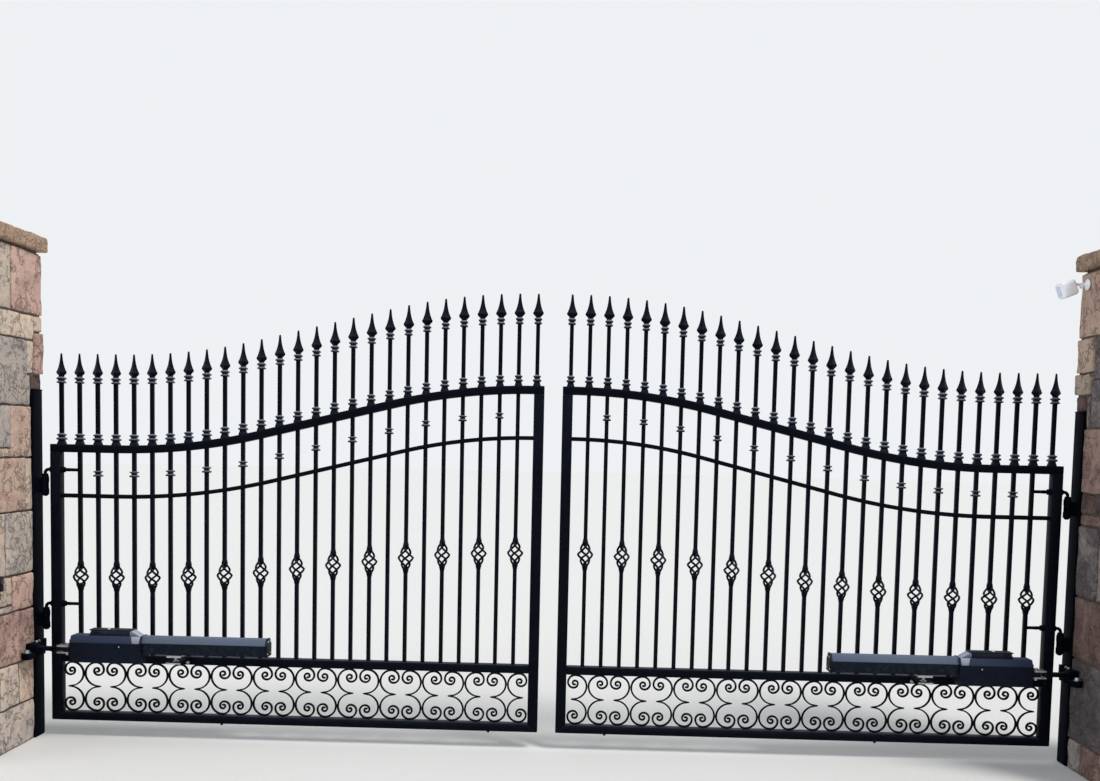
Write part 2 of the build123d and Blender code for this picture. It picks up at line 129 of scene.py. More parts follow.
def objectPoint(tree, stretch=(1, 1, 1)):
    point = addNode(tree, "ShaderNodeTexCoord").outputs["Object"]
    return addNode(tree, "ShaderNodeMapping", {"Vector": point, "Scale": stretch}).outputs[0]


def noiseNode(tree, point, size, detail, roughness=0.5, distortion=0.0, output="Fac"):
    return addNode(tree, "ShaderNodeTexNoise", {
        "Vector": point, "Scale": size, "Detail": detail, "Roughness": roughness,
        "Distortion": distortion}).outputs[output]


def vectorMath(tree, operation, inputs):
    return addNode(tree, "ShaderNodeVectorMath", inputs, operation=operation).outputs[0]


def connect(tree, shader, color, roughness, height, strength, distance):
    # a finished material's colour, roughness and bump
    relief = addNode(tree, "ShaderNodeBump", {"Height": height, "Strength": strength, "Distance": distance})
    for key, socket in (("Base Color", color), ("Roughness", roughness), ("Normal", relief.outputs[0])):
        tree.links.new(socket, shader.inputs[key])


def makeGroup(name, inputs, outputs):
    tree = bpy.data.node_groups.new(name, "ShaderNodeTree")
    for label, value in inputs.items():
        socket = tree.interface.new_socket(label, in_out="INPUT", socket_type="NodeSocketFloat")
        socket.default_value = value
    for label in outputs:
        tree.interface.new_socket(label, in_out="OUTPUT", socket_type="NodeSocketFloat")
    given = tree.nodes.new("NodeGroupInput")
    result = tree.nodes.new("NodeGroupOutput")
    return tree, given.outputs, result.inputs


def useGroup(tree, group, **values):
    node = tree.nodes.new("ShaderNodeGroup")
    node.node_tree = group
    for key, value in values.items():
        node.inputs[key].default_value = value
    return node.outputs


def buildDustAndSheen():
    # settled dust and weathered bloom, together with painted sky reflection: on faces that look up, patchy or
    # even
    tree, given, result = makeGroup("settledDust", {"Amount": 0.5, "Evenness": 0.0, "Size": 9.0}, ["Mask"])
    normal = addNode(tree, "ShaderNodeNewGeometry").outputs["Normal"]
    up = addNode(tree, "ShaderNodeSeparateXYZ", {0: normal}).outputs["Z"]
    level = remap(tree, up, 0.1, 0.8, 0.04, 1.0)
    patches = noiseNode(tree, objectPoint(tree), given["Size"], 6.0, 0.62)
    spread = mathNode(tree, "MAXIMUM", remap(tree, patches, 0.38, 0.72), given["Evenness"])
    tree.links.new(mathNode(tree, "MULTIPLY", level, spread, given["Amount"]), result["Mask"])
    return tree


def buildWear():
    # paint rubbed thin along the outer edges
    tree, given, result = makeGroup("edgeWear", {"Amount": 0.5, "Size": 60.0}, ["Mask"])
    edge = remap(tree, addNode(tree, "ShaderNodeNewGeometry").outputs["Pointiness"], 0.53, 0.62)
    grit = remap(tree, noiseNode(tree, objectPoint(tree), given["Size"], 5.0), 0.45, 0.65)
    tree.links.new(mathNode(tree, "MULTIPLY", edge, grit, given["Amount"]), result["Mask"])
    return tree


def buildPeel():
    # fine orange peel of sprayed paint and the grain of moulded plastic
    tree, given, result = makeGroup("paintPeel", {"Size": 400.0, "Waviness": 12.0}, ["Height", "Mask"])
    point = objectPoint(tree)
    fine = noiseNode(tree, point, given["Size"], 2.0)
    broad = noiseNode(tree, point, given["Waviness"], 3.0)
    tree.links.new(mathNode(tree, "ADD", fine, mathNode(tree, "MULTIPLY", broad, 2.0)), result["Height"])
    tree.links.new(remap(tree, broad, 0.3, 0.7), result["Mask"])
    return tree


groups = {"dustAndSheen": buildDustAndSheen(), "wear": buildWear(), "peel": buildPeel()}


def newMaterial(name, **sockets):
    material = bpy.data.materials.new(name)
    material.use_nodes = True
    shader = material.node_tree.nodes["Principled BSDF"]
    for key, value in sockets.items():
        shader.inputs[key.replace("_", " ")].default_value = value
    return material, material.node_tree, shader


def paintLike(name, base, worn, dustAndSheen, roughness, peel=400.0, bump=0.05, dustAndSheenAmount=0.5, evenness=0.0,
              wearAmount=0.5, reflectionStreak=None, **sockets):
    # sprayed paint or moulded plastic: base colour, lighter worn edges, dust together with painted sky
    # reflection on faces that look up, optional painted reflection stripes, uneven gloss
    material, tree, shader = newMaterial(name, **sockets)
    grain = useGroup(tree, groups["peel"], Size=peel)
    dustAndSheenMask = useGroup(tree, groups["dustAndSheen"], Amount=dustAndSheenAmount, Evenness=evenness)["Mask"]
    wearMask = useGroup(tree, groups["wear"], Amount=wearAmount)["Mask"]
    shade = mixColor(tree, grain["Mask"], base, [c * 1.5 for c in base[:3]] + [1])
    if reflectionStreak:
        # painted reflection: lighter blue vertical stripes
        reflectionRuns = noiseNode(tree, objectPoint(tree, (48, 48, 1.2)), 1.0, 4.0)
        shade = mixColor(tree, remap(tree, reflectionRuns, 0.46, 0.62), shade, reflectionStreak)
    shade = mixColor(tree, wearMask, shade, worn)
    shade = mixColor(tree, dustAndSheenMask, shade, dustAndSheen)
    rough = mathNode(tree, "ADD", remap(tree, grain["Mask"], 0.0, 1.0, *roughness),
                     mathNode(tree, "MULTIPLY", dustAndSheenMask, 0.35))
    connect(tree, shader, shade, rough, grain["Height"], bump, 0.002)
    return material


def galvanised(name, light, dark, roughness, metallic=0.85):
    # zinc spangle: small crystals that differ in tone and gloss, with white bloom
    material, tree, shader = newMaterial(name, Metallic=metallic)
    crystals = addNode(tree, "ShaderNodeTexVoronoi", {"Vector": objectPoint(tree), "Scale": 130.0})
    tone = addNode(tree, "ShaderNodeSeparateXYZ", {0: crystals.outputs["Color"]}).outputs["X"]
    bloom = remap(tree, noiseNode(tree, objectPoint(tree), 24.0, 7.0), 0.45, 0.75)
    shade = mixColor(tree, tone, dark, light)
    shade = mixColor(tree, mathNode(tree, "MULTIPLY", bloom, 0.5), shade, [0.55, 0.55, 0.54, 1])
    rough = mathNode(tree, "ADD", remap(tree, tone, 0.0, 1.0, *roughness),
                     mathNode(tree, "MULTIPLY", bloom, 0.2))
    connect(tree, shader, shade, rough, bloom, 0.25, 0.001)
    return material


def rockFace(name, stops, veins=0.7, roughness=(0.72, 0.95)):
    # split sandstone: each block's own tone, a painted light and shade level for each block, mottling, thin
    # curling cracks, chisel marks and pits
    material, tree, shader = newMaterial(name, Specular_IOR_Level=0.22)
    own = addNode(tree, "ShaderNodeAttribute", attribute_name="blockTone",
                  attribute_type="GEOMETRY").outputs["Vector"]
    parts = addNode(tree, "ShaderNodeSeparateXYZ", {0: own}).outputs
    shifted = vectorMath(tree, "ADD", {0: objectPoint(tree), 1: own})
    cloud = noiseNode(tree, shifted, 5.5, 8.0, 0.62, 0.8)
    fine = noiseNode(tree, shifted, 85.0, 6.0, 0.7)
    pitted = noiseNode(tree, shifted, 30.0, 5.0, 0.75)
    curl = addNode(tree, "ShaderNodeTexWave", {
        "Vector": shifted, "Scale": 3.6, "Distortion": 17.0, "Detail": 5.0, "Detail Scale": 1.5,
        "Detail Roughness": 0.66}).outputs["Fac"]
    sway = noiseNode(tree, shifted, 7.0, 5.0, 0.6, output="Color")
    bent = vectorMath(tree, "ADD", {0: shifted, 1: vectorMath(tree, "SCALE", {0: sway, "Scale": 0.16})})
    cells = addNode(tree, "ShaderNodeTexVoronoi", {"Vector": bent, "Scale": 7.5},
                    feature="DISTANCE_TO_EDGE").outputs["Distance"]
    broken = remap(tree, noiseNode(tree, shifted, 9.0, 3.0, 0.6), 0.46, 0.58)
    crack = mathNode(tree, "MAXIMUM",
                     mathNode(tree, "MULTIPLY", remap(tree, curl, 0.0, 0.10, 1.0, 0.0), 0.7),
                     mathNode(tree, "MULTIPLY", remap(tree, cells, 0.0, 0.028, 1.0, 0.0), broken))

    tone = mathNode(tree, "ADD", parts["X"],
                    mathNode(tree, "MULTIPLY", mathNode(tree, "SUBTRACT", cloud, 0.5), 0.62))
    ramp = addNode(tree, "ShaderNodeValToRGB", {"Fac": tone})
    marks = ramp.color_ramp.elements
    for mark, (position, color) in ((marks[0], stops[0]), (marks[1], stops[-1])):
        mark.position, mark.color = position, color
    for position, color in stops[1:-1]:
        marks.new(position).color = color
    shade = mixColor(tree, remap(tree, pitted, 0.50, 0.66, 0.0, 0.5), ramp.outputs["Color"],
                     [0.19, 0.145, 0.13, 1])
    shade = mixColor(tree, remap(tree, fine, 0.55, 0.70, 0.0, 0.45), shade, [0.74, 0.68, 0.60, 1])
    # painted light and shade: each block's second value brightens or darkens it as lit or shaded
    paintedLight = remap(tree, parts["Y"], 0.0, 1.0, 0.40, 1.16)
    paintedLightGrey = addNode(tree, "ShaderNodeCombineColor", {0: paintedLight, 1: paintedLight, 2: paintedLight}).outputs[0]
    shade = mixColor(tree, 1.0, shade, paintedLightGrey, "MULTIPLY")
    shade = mixColor(tree, mathNode(tree, "MULTIPLY", crack, veins), shade, [0.055, 0.038, 0.034, 1])

    grooves = mathNode(tree, "SUBTRACT", mathNode(tree, "MULTIPLY", pitted, 0.9), crack)
    swell = mathNode(tree, "ADD", mathNode(tree, "MULTIPLY", fine, 0.35),
                     mathNode(tree, "MULTIPLY", cloud, 1.6))
    connect(tree, shader, shade, remap(tree, fine, 0.3, 0.7, *roughness),
            mathNode(tree, "ADD", grooves, swell), 0.8, 0.009)
    return material


print("materials")
blueSheen = [0.55, 0.70, 1.0, 1]
# The light blue-grey third colours of the gate, casing, tube and cover paints lie on faces that look up:
# painted sky reflection, together with dust
gatePaint = paintLike("gatePaint", [0.0016, 0.0021, 0.0040, 1], [0.012, 0.014, 0.022, 1],
                      [0.055, 0.066, 0.095, 1], (0.28, 0.40), dustAndSheenAmount=0.7, evenness=0.5, wearAmount=0.3,
                      Specular_IOR_Level=0.03, Specular_Tint=blueSheen)
# the ring paint: like the gate paint, but its light blue-grey on faces that look up is a painted highlight,
# together with dust
ringPaint = paintLike("ringPaint", [0.0022, 0.0028, 0.0050, 1], [0.030, 0.036, 0.055, 1],
                      [0.33, 0.37, 0.46, 1], (0.18, 0.28), dustAndSheenAmount=0.9, evenness=0.6, wearAmount=0.5,
                      Specular_IOR_Level=0.10, Specular_Tint=blueSheen)
# the post paint's lighter blue vertical stripes are painted reflection
postPaint = paintLike("postPaint", [0.0014, 0.0018, 0.0032, 1], [0.010, 0.012, 0.018, 1],
                      [0.020, 0.022, 0.028, 1], (0.34, 0.50), dustAndSheenAmount=0.5, evenness=0.3, wearAmount=0.4,
                      reflectionStreak=[0.0034, 0.0050, 0.0100, 1], Specular_IOR_Level=0.006, Specular_Tint=blueSheen)
casingPaint = paintLike("casingPaint", [0.0022, 0.0028, 0.0060, 1], [0.04, 0.05, 0.07, 1],
                        [0.050, 0.065, 0.120, 1], (0.32, 0.44), peel=700.0, bump=0.08, dustAndSheenAmount=1.0,
                        evenness=0.8, wearAmount=0.4, Specular_IOR_Level=0.10, Specular_Tint=blueSheen)
tubePaint = paintLike("tubePaint", [0.0018, 0.0024, 0.0055, 1], [0.05, 0.06, 0.08, 1],
                      [0.155, 0.195, 0.270, 1], (0.32, 0.46), peel=300.0, bump=0.07, dustAndSheenAmount=1.0,
                      evenness=0.8, wearAmount=0.4, Specular_IOR_Level=0.05, Specular_Tint=blueSheen)
# the cast paint's lighter base and its light blue-grey on faces that look up are a painted highlight on the
# shoulder, together with dust
castPaint = paintLike("castPaint", [0.020, 0.024, 0.040, 1], [0.20, 0.22, 0.28, 1],
                      [0.42, 0.46, 0.56, 1], (0.26, 0.36), peel=500.0, bump=0.08, dustAndSheenAmount=1.0,
                      evenness=0.85, wearAmount=0.6, Specular_IOR_Level=0.3)
coverPlastic = paintLike("coverPlastic", [0.0028, 0.0032, 0.0048, 1], [0.03, 0.032, 0.04, 1],
                         [0.10, 0.12, 0.17, 1], (0.42, 0.56), peel=900.0, bump=0.2, dustAndSheenAmount=0.6,
                         evenness=0.4, wearAmount=0.3, Specular_IOR_Level=0.10, Specular_Tint=blueSheen)
lampPlastic = paintLike("lampPlastic", [0.66, 0.68, 0.72, 1], [0.78, 0.79, 0.80, 1],
                        [0.52, 0.52, 0.50, 1], (0.28, 0.40), peel=500.0, bump=0.04, dustAndSheenAmount=0.2,
                        wearAmount=0.2)
# the lamp's flat front face: a lens whose darker blue-grey is partly painted shade
lampFace = paintLike("lampFace", [0.46, 0.49, 0.60, 1], [0.6, 0.62, 0.66, 1], [0.45, 0.45, 0.46, 1],
                     (0.18, 0.26), peel=250.0, bump=0.03, dustAndSheenAmount=0.2, wearAmount=0.1)
eyeGlass = paintLike("eyeGlass", [0.012, 0.010, 0.014, 1], [0.03, 0.03, 0.03, 1], [0.08, 0.08, 0.08, 1],
                     (0.08, 0.14), peel=60.0, bump=0.01, dustAndSheenAmount=0.2, wearAmount=0.0)
zinc = galvanised("zincPlate", [0.46, 0.47, 0.48, 1], [0.26, 0.27, 0.28, 1], (0.32, 0.52))
boltSteel = galvanised("boltSteel", [0.58, 0.59, 0.60, 1], [0.38, 0.39, 0.40, 1], (0.24, 0.40), 0.95)
alloy = galvanised("carriageAlloy", [0.50, 0.51, 0.53, 1], [0.36, 0.37, 0.39, 1], (0.35, 0.55), 0.9)
stoneFace = rockFace("pierStone", [
    (0.00, [0.100, 0.090, 0.104, 1]), (0.12, [0.190, 0.165, 0.170, 1]), (0.20, [0.440, 0.390, 0.372, 1]),
    (0.40, [0.610, 0.500, 0.400, 1]), (0.56, [0.630, 0.450, 0.350, 1]), (0.72, [0.530, 0.340, 0.285, 1]),
    (0.88, [0.250, 0.150, 0.130, 1]), (1.00, [0.130, 0.095, 0.098, 1])])
capRock = rockFace("capStone", [
    (0.00, [0.130, 0.088, 0.066, 1]), (0.30, [0.340, 0.235, 0.150, 1]), (0.50, [0.480, 0.325, 0.220, 1]),
    (0.70, [0.500, 0.340, 0.270, 1]), (1.00, [0.240, 0.160, 0.130, 1])], veins=0.4)


def buildMortar():
    material, tree, shader = newMaterial("mortar")
    grit = noiseNode(tree, objectPoint(tree), 160.0, 8.0, 0.7)
    stain = noiseNode(tree, objectPoint(tree), 5.0, 4.0)
    shade = mixColor(tree, stain, [0.055, 0.04, 0.035, 1], [0.12, 0.09, 0.07, 1])
    shade = mixColor(tree, remap(tree, grit, 0.45, 0.7), shade, [0.17, 0.135, 0.11, 1])
    connect(tree, shader, shade, remap(tree, grit, 0.3, 0.7, 0.8, 0.98), grit, 0.6, 0.003)
    return material


def buildScrewSteel():
    # the thread is a ring pattern along X
    material, tree, shader = newMaterial("screwSteel", Metallic=0.9)
    thread = addNode(tree, "ShaderNodeTexWave", {"Vector": objectPoint(tree), "Scale": 80.0},
                     bands_direction="X").outputs["Fac"]
    grease = noiseNode(tree, objectPoint(tree), 30.0, 4.0)
    shade = mixColor(tree, grease, [0.20, 0.19, 0.17, 1], [0.38, 0.38, 0.39, 1])
    connect(tree, shader, shade, remap(tree, grease, 0.3, 0.7, 0.25, 0.5), thread, 0.8, 0.002)
    return material


mortarMaterial = buildMortar()
screwSteel = buildScrewSteel()


# mesh helpers, all for the right-hand half

def keepMesh(bm, name):
    mesh = bpy.data.meshes.new(name)
    bm.to_mesh(mesh)
    bm.free()
    return mesh


def stamp(bm, mesh, place):
    # adds a copy of a finished mesh
    copy = mesh.copy()
    copy.transform(place)
    bm.from_mesh(copy)
    bpy.data.meshes.remove(copy)


def merge(bm, part, place):
    mesh = keepMesh(part, "part")
    stamp(bm, mesh, place)
    bpy.data.meshes.remove(mesh)


def addBox(bm, x0, x1, y0, y1, z0, z1):
    made = bmesh.ops.create_cube(bm, size=1)["verts"]
    bmesh.ops.scale(bm, vec=(abs(x1 - x0), abs(y1 - y0), abs(z1 - z0)), verts=made)
    bmesh.ops.translate(bm, vec=((x0 + x1) / 2, (y0 + y1) / 2, (z0 + z1) / 2), verts=made)
    return made


def addPrism(bm, corners, along):
    # a flat outline pulled out along a direction
    face = bm.faces.new([bm.verts.new(corner) for corner in corners])
    pulled = bmesh.ops.extrude_face_region(bm, geom=[face])["geom"]
    moved = [item for item in pulled if isinstance(item, bmesh.types.BMVert)]
    bmesh.ops.translate(bm, vec=along, verts=moved)
    return list(face.verts) + moved


def pulledFace(bm, face):
    # draws a face out and returns the new one
    pulled = bmesh.ops.extrude_face_region(bm, geom=[face])["geom"]
    return next(item for item in pulled if isinstance(item, bmesh.types.BMFace))


def addPlate(bm, outline, y0, y1):
    return addPrism(bm, [(x, y0, z) for x, z in outline], (0, y1 - y0, 0))


def addBar(bm, outline, x0, x1):
    return addPrism(bm, [(x0, y, z) for y, z in outline], (x1 - x0, 0, 0))


def addSlab(bm, outline, z0, z1):
    return addPrism(bm, [(x, y, z0) for x, y in outline], (0, 0, z1 - z0))


def soften(bm, verts, width, segments=2, sharper=30):
    # rounds the edges that turn by more than sharper degrees
    bm.normal_update()
    edges = {edge for vert in verts for edge in vert.link_edges
             if len(edge.link_faces) == 2 and edge.calc_face_angle(0) > math.radians(sharper)}
    bmesh.ops.bevel(bm, geom=list(edges), offset=width, offset_type="OFFSET", segments=segments,
                    profile=0.5, affect="EDGES", clamp_overlap=True, material=-1)


def softBox(bm, x0, x1, y0, y1, z0, z1, width=0.003, segments=2):
    soften(bm, addBox(bm, x0, x1, y0, y1, z0, z1), width, segments)


def axisTurn(direction):
    return Vector((0, 0, 1)).rotation_difference(Vector(direction)).to_matrix().to_4x4()


def addRod(bm, start, end, radius, segments=24, width=0.0):
    start, end = Vector(start), Vector(end)
    place = Matrix.Translation((start + end) / 2) @ axisTurn((end - start).normalized())
    made = bmesh.ops.create_cone(bm, cap_ends=True, segments=segments, radius1=radius, radius2=radius,
                                 depth=(end - start).length, matrix=place)["verts"]
    if width:
        soften(bm, made, width, 2)
    return made


def addTurned(bm, outline, origin, direction, steps=28):
    # (distance, radius) points turned about an axis
    part = bmesh.new()
    line = [part.verts.new((radius, 0, along)) for along, radius in outline]
    edges = [part.edges.new(pair) for pair in zip(line, line[1:])]
    bmesh.ops.spin(part, geom=line + edges, cent=(0, 0, 0), axis=(0, 0, 1), dvec=(0, 0, 0),
                   angle=math.tau, steps=steps, use_merge=True, use_duplicate=False)
    merge(bm, part, Matrix.Translation(origin) @ axisTurn(direction))


def addHex(bm, seat, direction, flats, height, washer=0.0):
    # a hexagon head or nut standing on seat, with a washer under it
    seat, direction = Vector(seat), Vector(direction).normalized()
    if washer:
        addRod(bm, seat, seat + direction * 0.002, washer, 20, 0.0005)
        seat = seat + direction * 0.002
    addRod(bm, seat, seat + direction * height, flats / math.sqrt(3), 6, 0.0012)


def addStack(bm, x, y, z, outline, corner=0.18, turn=0.0):
    # a square section that grows and shrinks with height: (height, half width) points
    part = bmesh.new()
    made = bmesh.ops.create_grid(part, x_segments=1, y_segments=1, size=1.0)["verts"]
    if corner:
        bmesh.ops.bevel(part, geom=made, offset=corner * 2, offset_type="OFFSET", segments=2,
                        profile=0.5, affect="VERTICES", material=-1)
    part.faces.ensure_lookup_table()
    face = part.faces[0]
    level, size = outline[0]
    bmesh.ops.scale(part, vec=(size, size, 1), verts=list(face.verts))
    bmesh.ops.translate(part, vec=(0, 0, level), verts=list(face.verts))
    for height, half in outline[1:]:
        face = pulledFace(part, face)
        bmesh.ops.scale(part, vec=(half / size, half / size, 1), verts=list(face.verts))
        bmesh.ops.translate(part, vec=(0, 0, height - level), verts=list(face.verts))
        level, size = height, half
    merge(bm, part, Matrix.Translation((x, y, z)) @ Matrix.Rotation(math.radians(turn), 4, "Z"))


def addTube(bm, points, radius, sides=2):
    # a round bar along a smooth line
    curve = bpy.data.curves.new("barLine", "CURVE")
    curve.dimensions = "3D"
    curve.bevel_depth = radius
    curve.bevel_resolution = sides
    curve.use_fill_caps = True
    curve.resolution_u = 3
    spline = curve.splines.new("NURBS")
    spline.points.add(len(points) - 1)
    for target, point in zip(spline.points, points):
        target.co = (*point, 1)
    spline.order_u = 3
    spline.use_endpoint_u = True
    holder = bpy.data.objects.new("barLine", curve)
    bpy.context.scene.collection.objects.link(holder)
    mesh = bpy.data.meshes.new_from_object(holder.evaluated_get(bpy.context.evaluated_depsgraph_get()))
    bm.from_mesh(mesh)
    bpy.data.objects.remove(holder)
    bpy.data.curves.remove(curve)
    bpy.data.meshes.remove(mesh)


def finishPiece(bm, name, materials, body, nodes=(), sharp=32, mirrored=False):
    if mirrored:
        bmesh.ops.scale(bm, vec=(-1, 1, 1), verts=bm.verts[:])
    bmesh.ops.remove_doubles(bm, verts=bm.verts[:], dist=0.00002)
    bmesh.ops.recalc_face_normals(bm, faces=bm.faces[:])
    mesh = keepMesh(bm, name)
    for material in materials if isinstance(materials, list) else [materials]:
        mesh.materials.append(material)
    for polygon in mesh.polygons:
        polygon.use_smooth = True
    mesh.set_sharp_from_angle(angle=math.radians(sharp))
    piece = bpy.data.objects.new(name, mesh)
    bpy.context.scene.collection.objects.link(piece)
    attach(piece, body)
    if nodes:
        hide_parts(*nodes)
    return piece


def bothSides(make, name, materials, body, node, sharp=32):
    # the piers are one body, and each other body has one for each side
    for side, sign in sides.items():
        bm = bmesh.new()
        make(bm)
        finishPiece(bm, f"{name}_{side}", materials, body if body == "piers" else f"{side}_{body}",
                    [f"{node}_{side}"], sharp, sign < 0)
    print(name)


def paintNew(bm, old, index):
    # gives the faces made since old was noted another material
    for face in bm.faces:
        if face not in old:
            face.material_index = index


# camera, light and floor

view = {
    "place": (0.1119, -5.269, 1.519), "yaw": -0.021, "pitch": -0.0679, "roll": 0.0221,
    "lens": 36.63, "shiftY": 0.119, "sunStrength": 2.1, "fillStrength": 0.55, "skyStrength": 0.62,
    "background": [0.86, 0.88, 0.90, 1], "floor": [0.72, 0.72, 0.71, 1],
}


def addCamera():
    yaw, pitch, roll = view["yaw"], view["pitch"], view["roll"]
    ahead = Vector((math.sin(yaw) * math.cos(pitch), math.cos(yaw) * math.cos(pitch), math.sin(pitch)))
    level = Vector((math.cos(yaw), -math.sin(yaw), 0))
    up = level.cross(ahead)
    right = level * math.cos(roll) + up * math.sin(roll)
    top = up * math.cos(roll) - level * math.sin(roll)
    camera = bpy.data.objects.new("camera", bpy.data.cameras.new("camera"))
    bpy.context.scene.collection.objects.link(camera)
    turn = Matrix((right, top, -ahead)).transposed().to_4x4()
    camera.matrix_world = Matrix.Translation(view["place"]) @ turn
    camera.data.lens = view["lens"]
    camera.data.sensor_width = 36
    camera.data.shift_y = view["shiftY"]
    bpy.context.scene.camera = camera


def addSun(name, strength, direction, softness, color):
    lamp = bpy.data.lights.new(name, "SUN")
    lamp.energy = strength
    lamp.angle = math.radians(softness)
    lamp.color = color
    holder = bpy.data.objects.new(name, lamp)
    holder.rotation_euler = Vector(direction).to_track_quat("-Z", "Y").to_euler()
    bpy.context.scene.collection.objects.link(holder)


def addStage():
    world = bpy.data.worlds.new("studio")
    bpy.context.scene.world = world
    world.use_nodes = True
    tree = world.node_tree
    path = addNode(tree, "ShaderNodeLightPath").outputs
    seen = mathNode(tree, "MAXIMUM", path["Is Camera Ray"],
                    mathNode(tree, "MAXIMUM", path["Is Glossy Ray"], path["Is Transmission Ray"]))
    light = tree.nodes["Background"]
    light.inputs["Color"].default_value = [0.93, 0.96, 1.0, 1]
    light.inputs["Strength"].default_value = view["skyStrength"]
    back = addNode(tree, "ShaderNodeBackground", {"Color": view["background"], "Strength": 1.0})
    mix = addNode(tree, "ShaderNodeMixShader", {0: seen, 1: light.outputs[0], 2: back.outputs[0]})
    tree.links.new(mix.outputs[0], tree.nodes["World Output"].inputs["Surface"])

    material, tree, shader = newMaterial("studioFloor", Roughness=0.9)
    shader.inputs["Base Color"].default_value = view["floor"]
    shader.inputs["Specular IOR Level"].default_value = 0.1
    bm = bmesh.new()
    bmesh.ops.create_circle(bm, cap_ends=True, segments=96, radius=60)
    floor = bpy.data.objects.new("studioFloor", keepMesh(bm, "studioFloor"))
    floor.data.materials.append(material)
    bpy.context.scene.collection.objects.link(floor)
    floor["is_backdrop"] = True
    addSun("keySun", view["sunStrength"], (-0.62, 0.50, -1.0), 18, (1.0, 0.98, 0.95))
    addSun("fillSun", view["fillStrength"], (0.8, 0.55, -0.5), 40, (0.93, 0.96, 1.0))
    bpy.context.scene.view_settings.view_transform = "Standard"


addCamera()
addStage()
print("camera and light")


# stone piers

pierSize = {
    "inner": 2.555, "outer": 3.165, "half": 0.305, "top": 2.405, "stone": 0.12, "joint": 0.010,
    "recess": 0.012, "chaseX": 2.657, "bedEnd": 0.186, "chaseTop": 1.805, "corner": (0.10, 0.20),
    "tall": 0.19, "stacked": 0.45,
}
rock = {"soft": 0.005, "long": 0.05, "cuts": 6, "relief": 0.0048, "reliefSize": 11, "chips": 0.0024,
        "chipSize": 38, "toneSpread": 0.03}
# the stone over the steel post has a light level near zero: painted shade at the top of the chase
lintel = {"gap": 0.004, "y": (0.190, 0.300), "seat": 0.006, "top": 1.812, "tone": 0.88,
          "paintedLight": (0.0, 0.1)}
cap = {"bed": 0.012, "margin": 0.004, "soft": 0.010, "long": 0.1, "cuts": 30, "tall": 0.03,
       "relief": 0.008, "reliefSize": 9, "chips": 0.010, "chipSize": 24, "bedMargin": 0.045,
       "seeds": {"left": 3, "right": 5}}
# blocks of the inner face: y0, y1, z0, z1, tone, how far it stands proud; y0 None begins a course
innerBlocks = {
    "left": [
        (None, 0.005, 2.100, 2.405, 0.34, 0.0), (0.005, 0.305, 2.100, 2.405, 0.66, 0.003),
        (None, 0.225, 1.975, 2.100, 0.46, 0.0), (0.225, 0.305, 2.020, 2.100, 0.42, 0.0),
        (None, 0.155, 1.655, 1.975, 0.24, 0.002), (0.155, 0.218, 1.810, 1.975, 0.47, 0.0),
        (0.218, 0.305, 1.810, 2.020, 0.72, 0.010), (0.155, 0.192, 1.655, 1.810, 0.30, -0.004),
        (None, -0.010, 1.450, 1.655, 0.25, 0.0), (-0.010, 0.192, 1.405, 1.655, 0.60, 0.0),
        (None, -0.010, 1.405, 1.450, 0.40, 0.0),
        (None, 0.130, 1.145, 1.405, 0.58, 0.002), (0.130, 0.192, 1.145, 1.405, 0.45, 0.0),
        (None, -0.070, 0.840, 1.145, 0.40, 0.0), (-0.070, 0.192, 0.840, 1.145, 0.30, 0.003),
        (None, -0.010, 0.700, 0.840, 0.42, 0.0), (-0.010, 0.192, 0.665, 0.840, 0.64, 0.004),
        (None, -0.010, 0.665, 0.700, 0.27, 0.0),
        (None, 0.192, 0.415, 0.665, 0.70, 0.004),
        (None, 0.050, 0.205, 0.415, 0.36, 0.0), (0.050, 0.192, 0.205, 0.415, 0.55, 0.0),
        (None, 0.192, 0.000, 0.205, 0.28, 0.0),
    ],
    "right": [
        (None, 0.305, 2.090, 2.405, 0.64, 0.002),
        (0.130, 0.305, 1.920, 2.090, 0.60, 0.008), (None, 0.130, 1.885, 2.090, 0.14, 0.0),
        (0.145, 0.305, 1.815, 1.920, 0.50, 0.012), (0.130, 0.145, 1.885, 1.920, 0.5, 0.0),
        (None, 0.145, 1.655, 1.885, 0.12, 0.0), (0.145, 0.192, 1.655, 1.815, 0.10, -0.004),
        (None, 0.192, 1.345, 1.655, 0.74, 0.003),
        (None, 0.192, 1.245, 1.345, 0.92, 0.0),
        (None, 0.192, 1.190, 1.245, 0.84, 0.0),
        (None, -0.020, 0.845, 1.190, 0.30, 0.0), (-0.020, 0.192, 0.845, 1.190, 0.10, 0.006),
        (None, 0.192, 0.545, 0.845, 0.88, 0.002),
        (None, 0.192, 0.150, 0.545, 0.08, 0.003),
        (None, 0.060, 0.000, 0.150, 0.78, 0.0), (0.060, 0.192, 0.000, 0.150, 0.20, 0.0),
    ],
}


# seed, the painted light and shade of the stone (the left pier painted lit, the right one painted in shade),
# the cap's painted light level, and the tones of the faces out of view
pierLook = {
    "left": {"seed": 7, "paintedLight": (0.74, 1.0), "cap": 0.74,
             "tones": [0.24, 0.3, 0.36, 0.42, 0.5, 0.56, 0.62, 0.7]},
    "right": {"seed": 19, "paintedLight": (0.22, 0.52), "cap": 0.42,
              "tones": [0.06, 0.14, 0.3, 0.38, 0.6, 0.68, 0.8, 0.92]},
}


def roughen(bm, moveOf):
    # all moves are worked out before the first corner moves
    bm.normal_update()
    moves = [moveOf(vert) for vert in bm.verts]
    for vert, move in zip(bm.verts, moves):
        vert.co += move


def toneFaces(bm, layer, own):
    for face in bm.faces:
        for loop in face.loops:
            loop[layer] = own


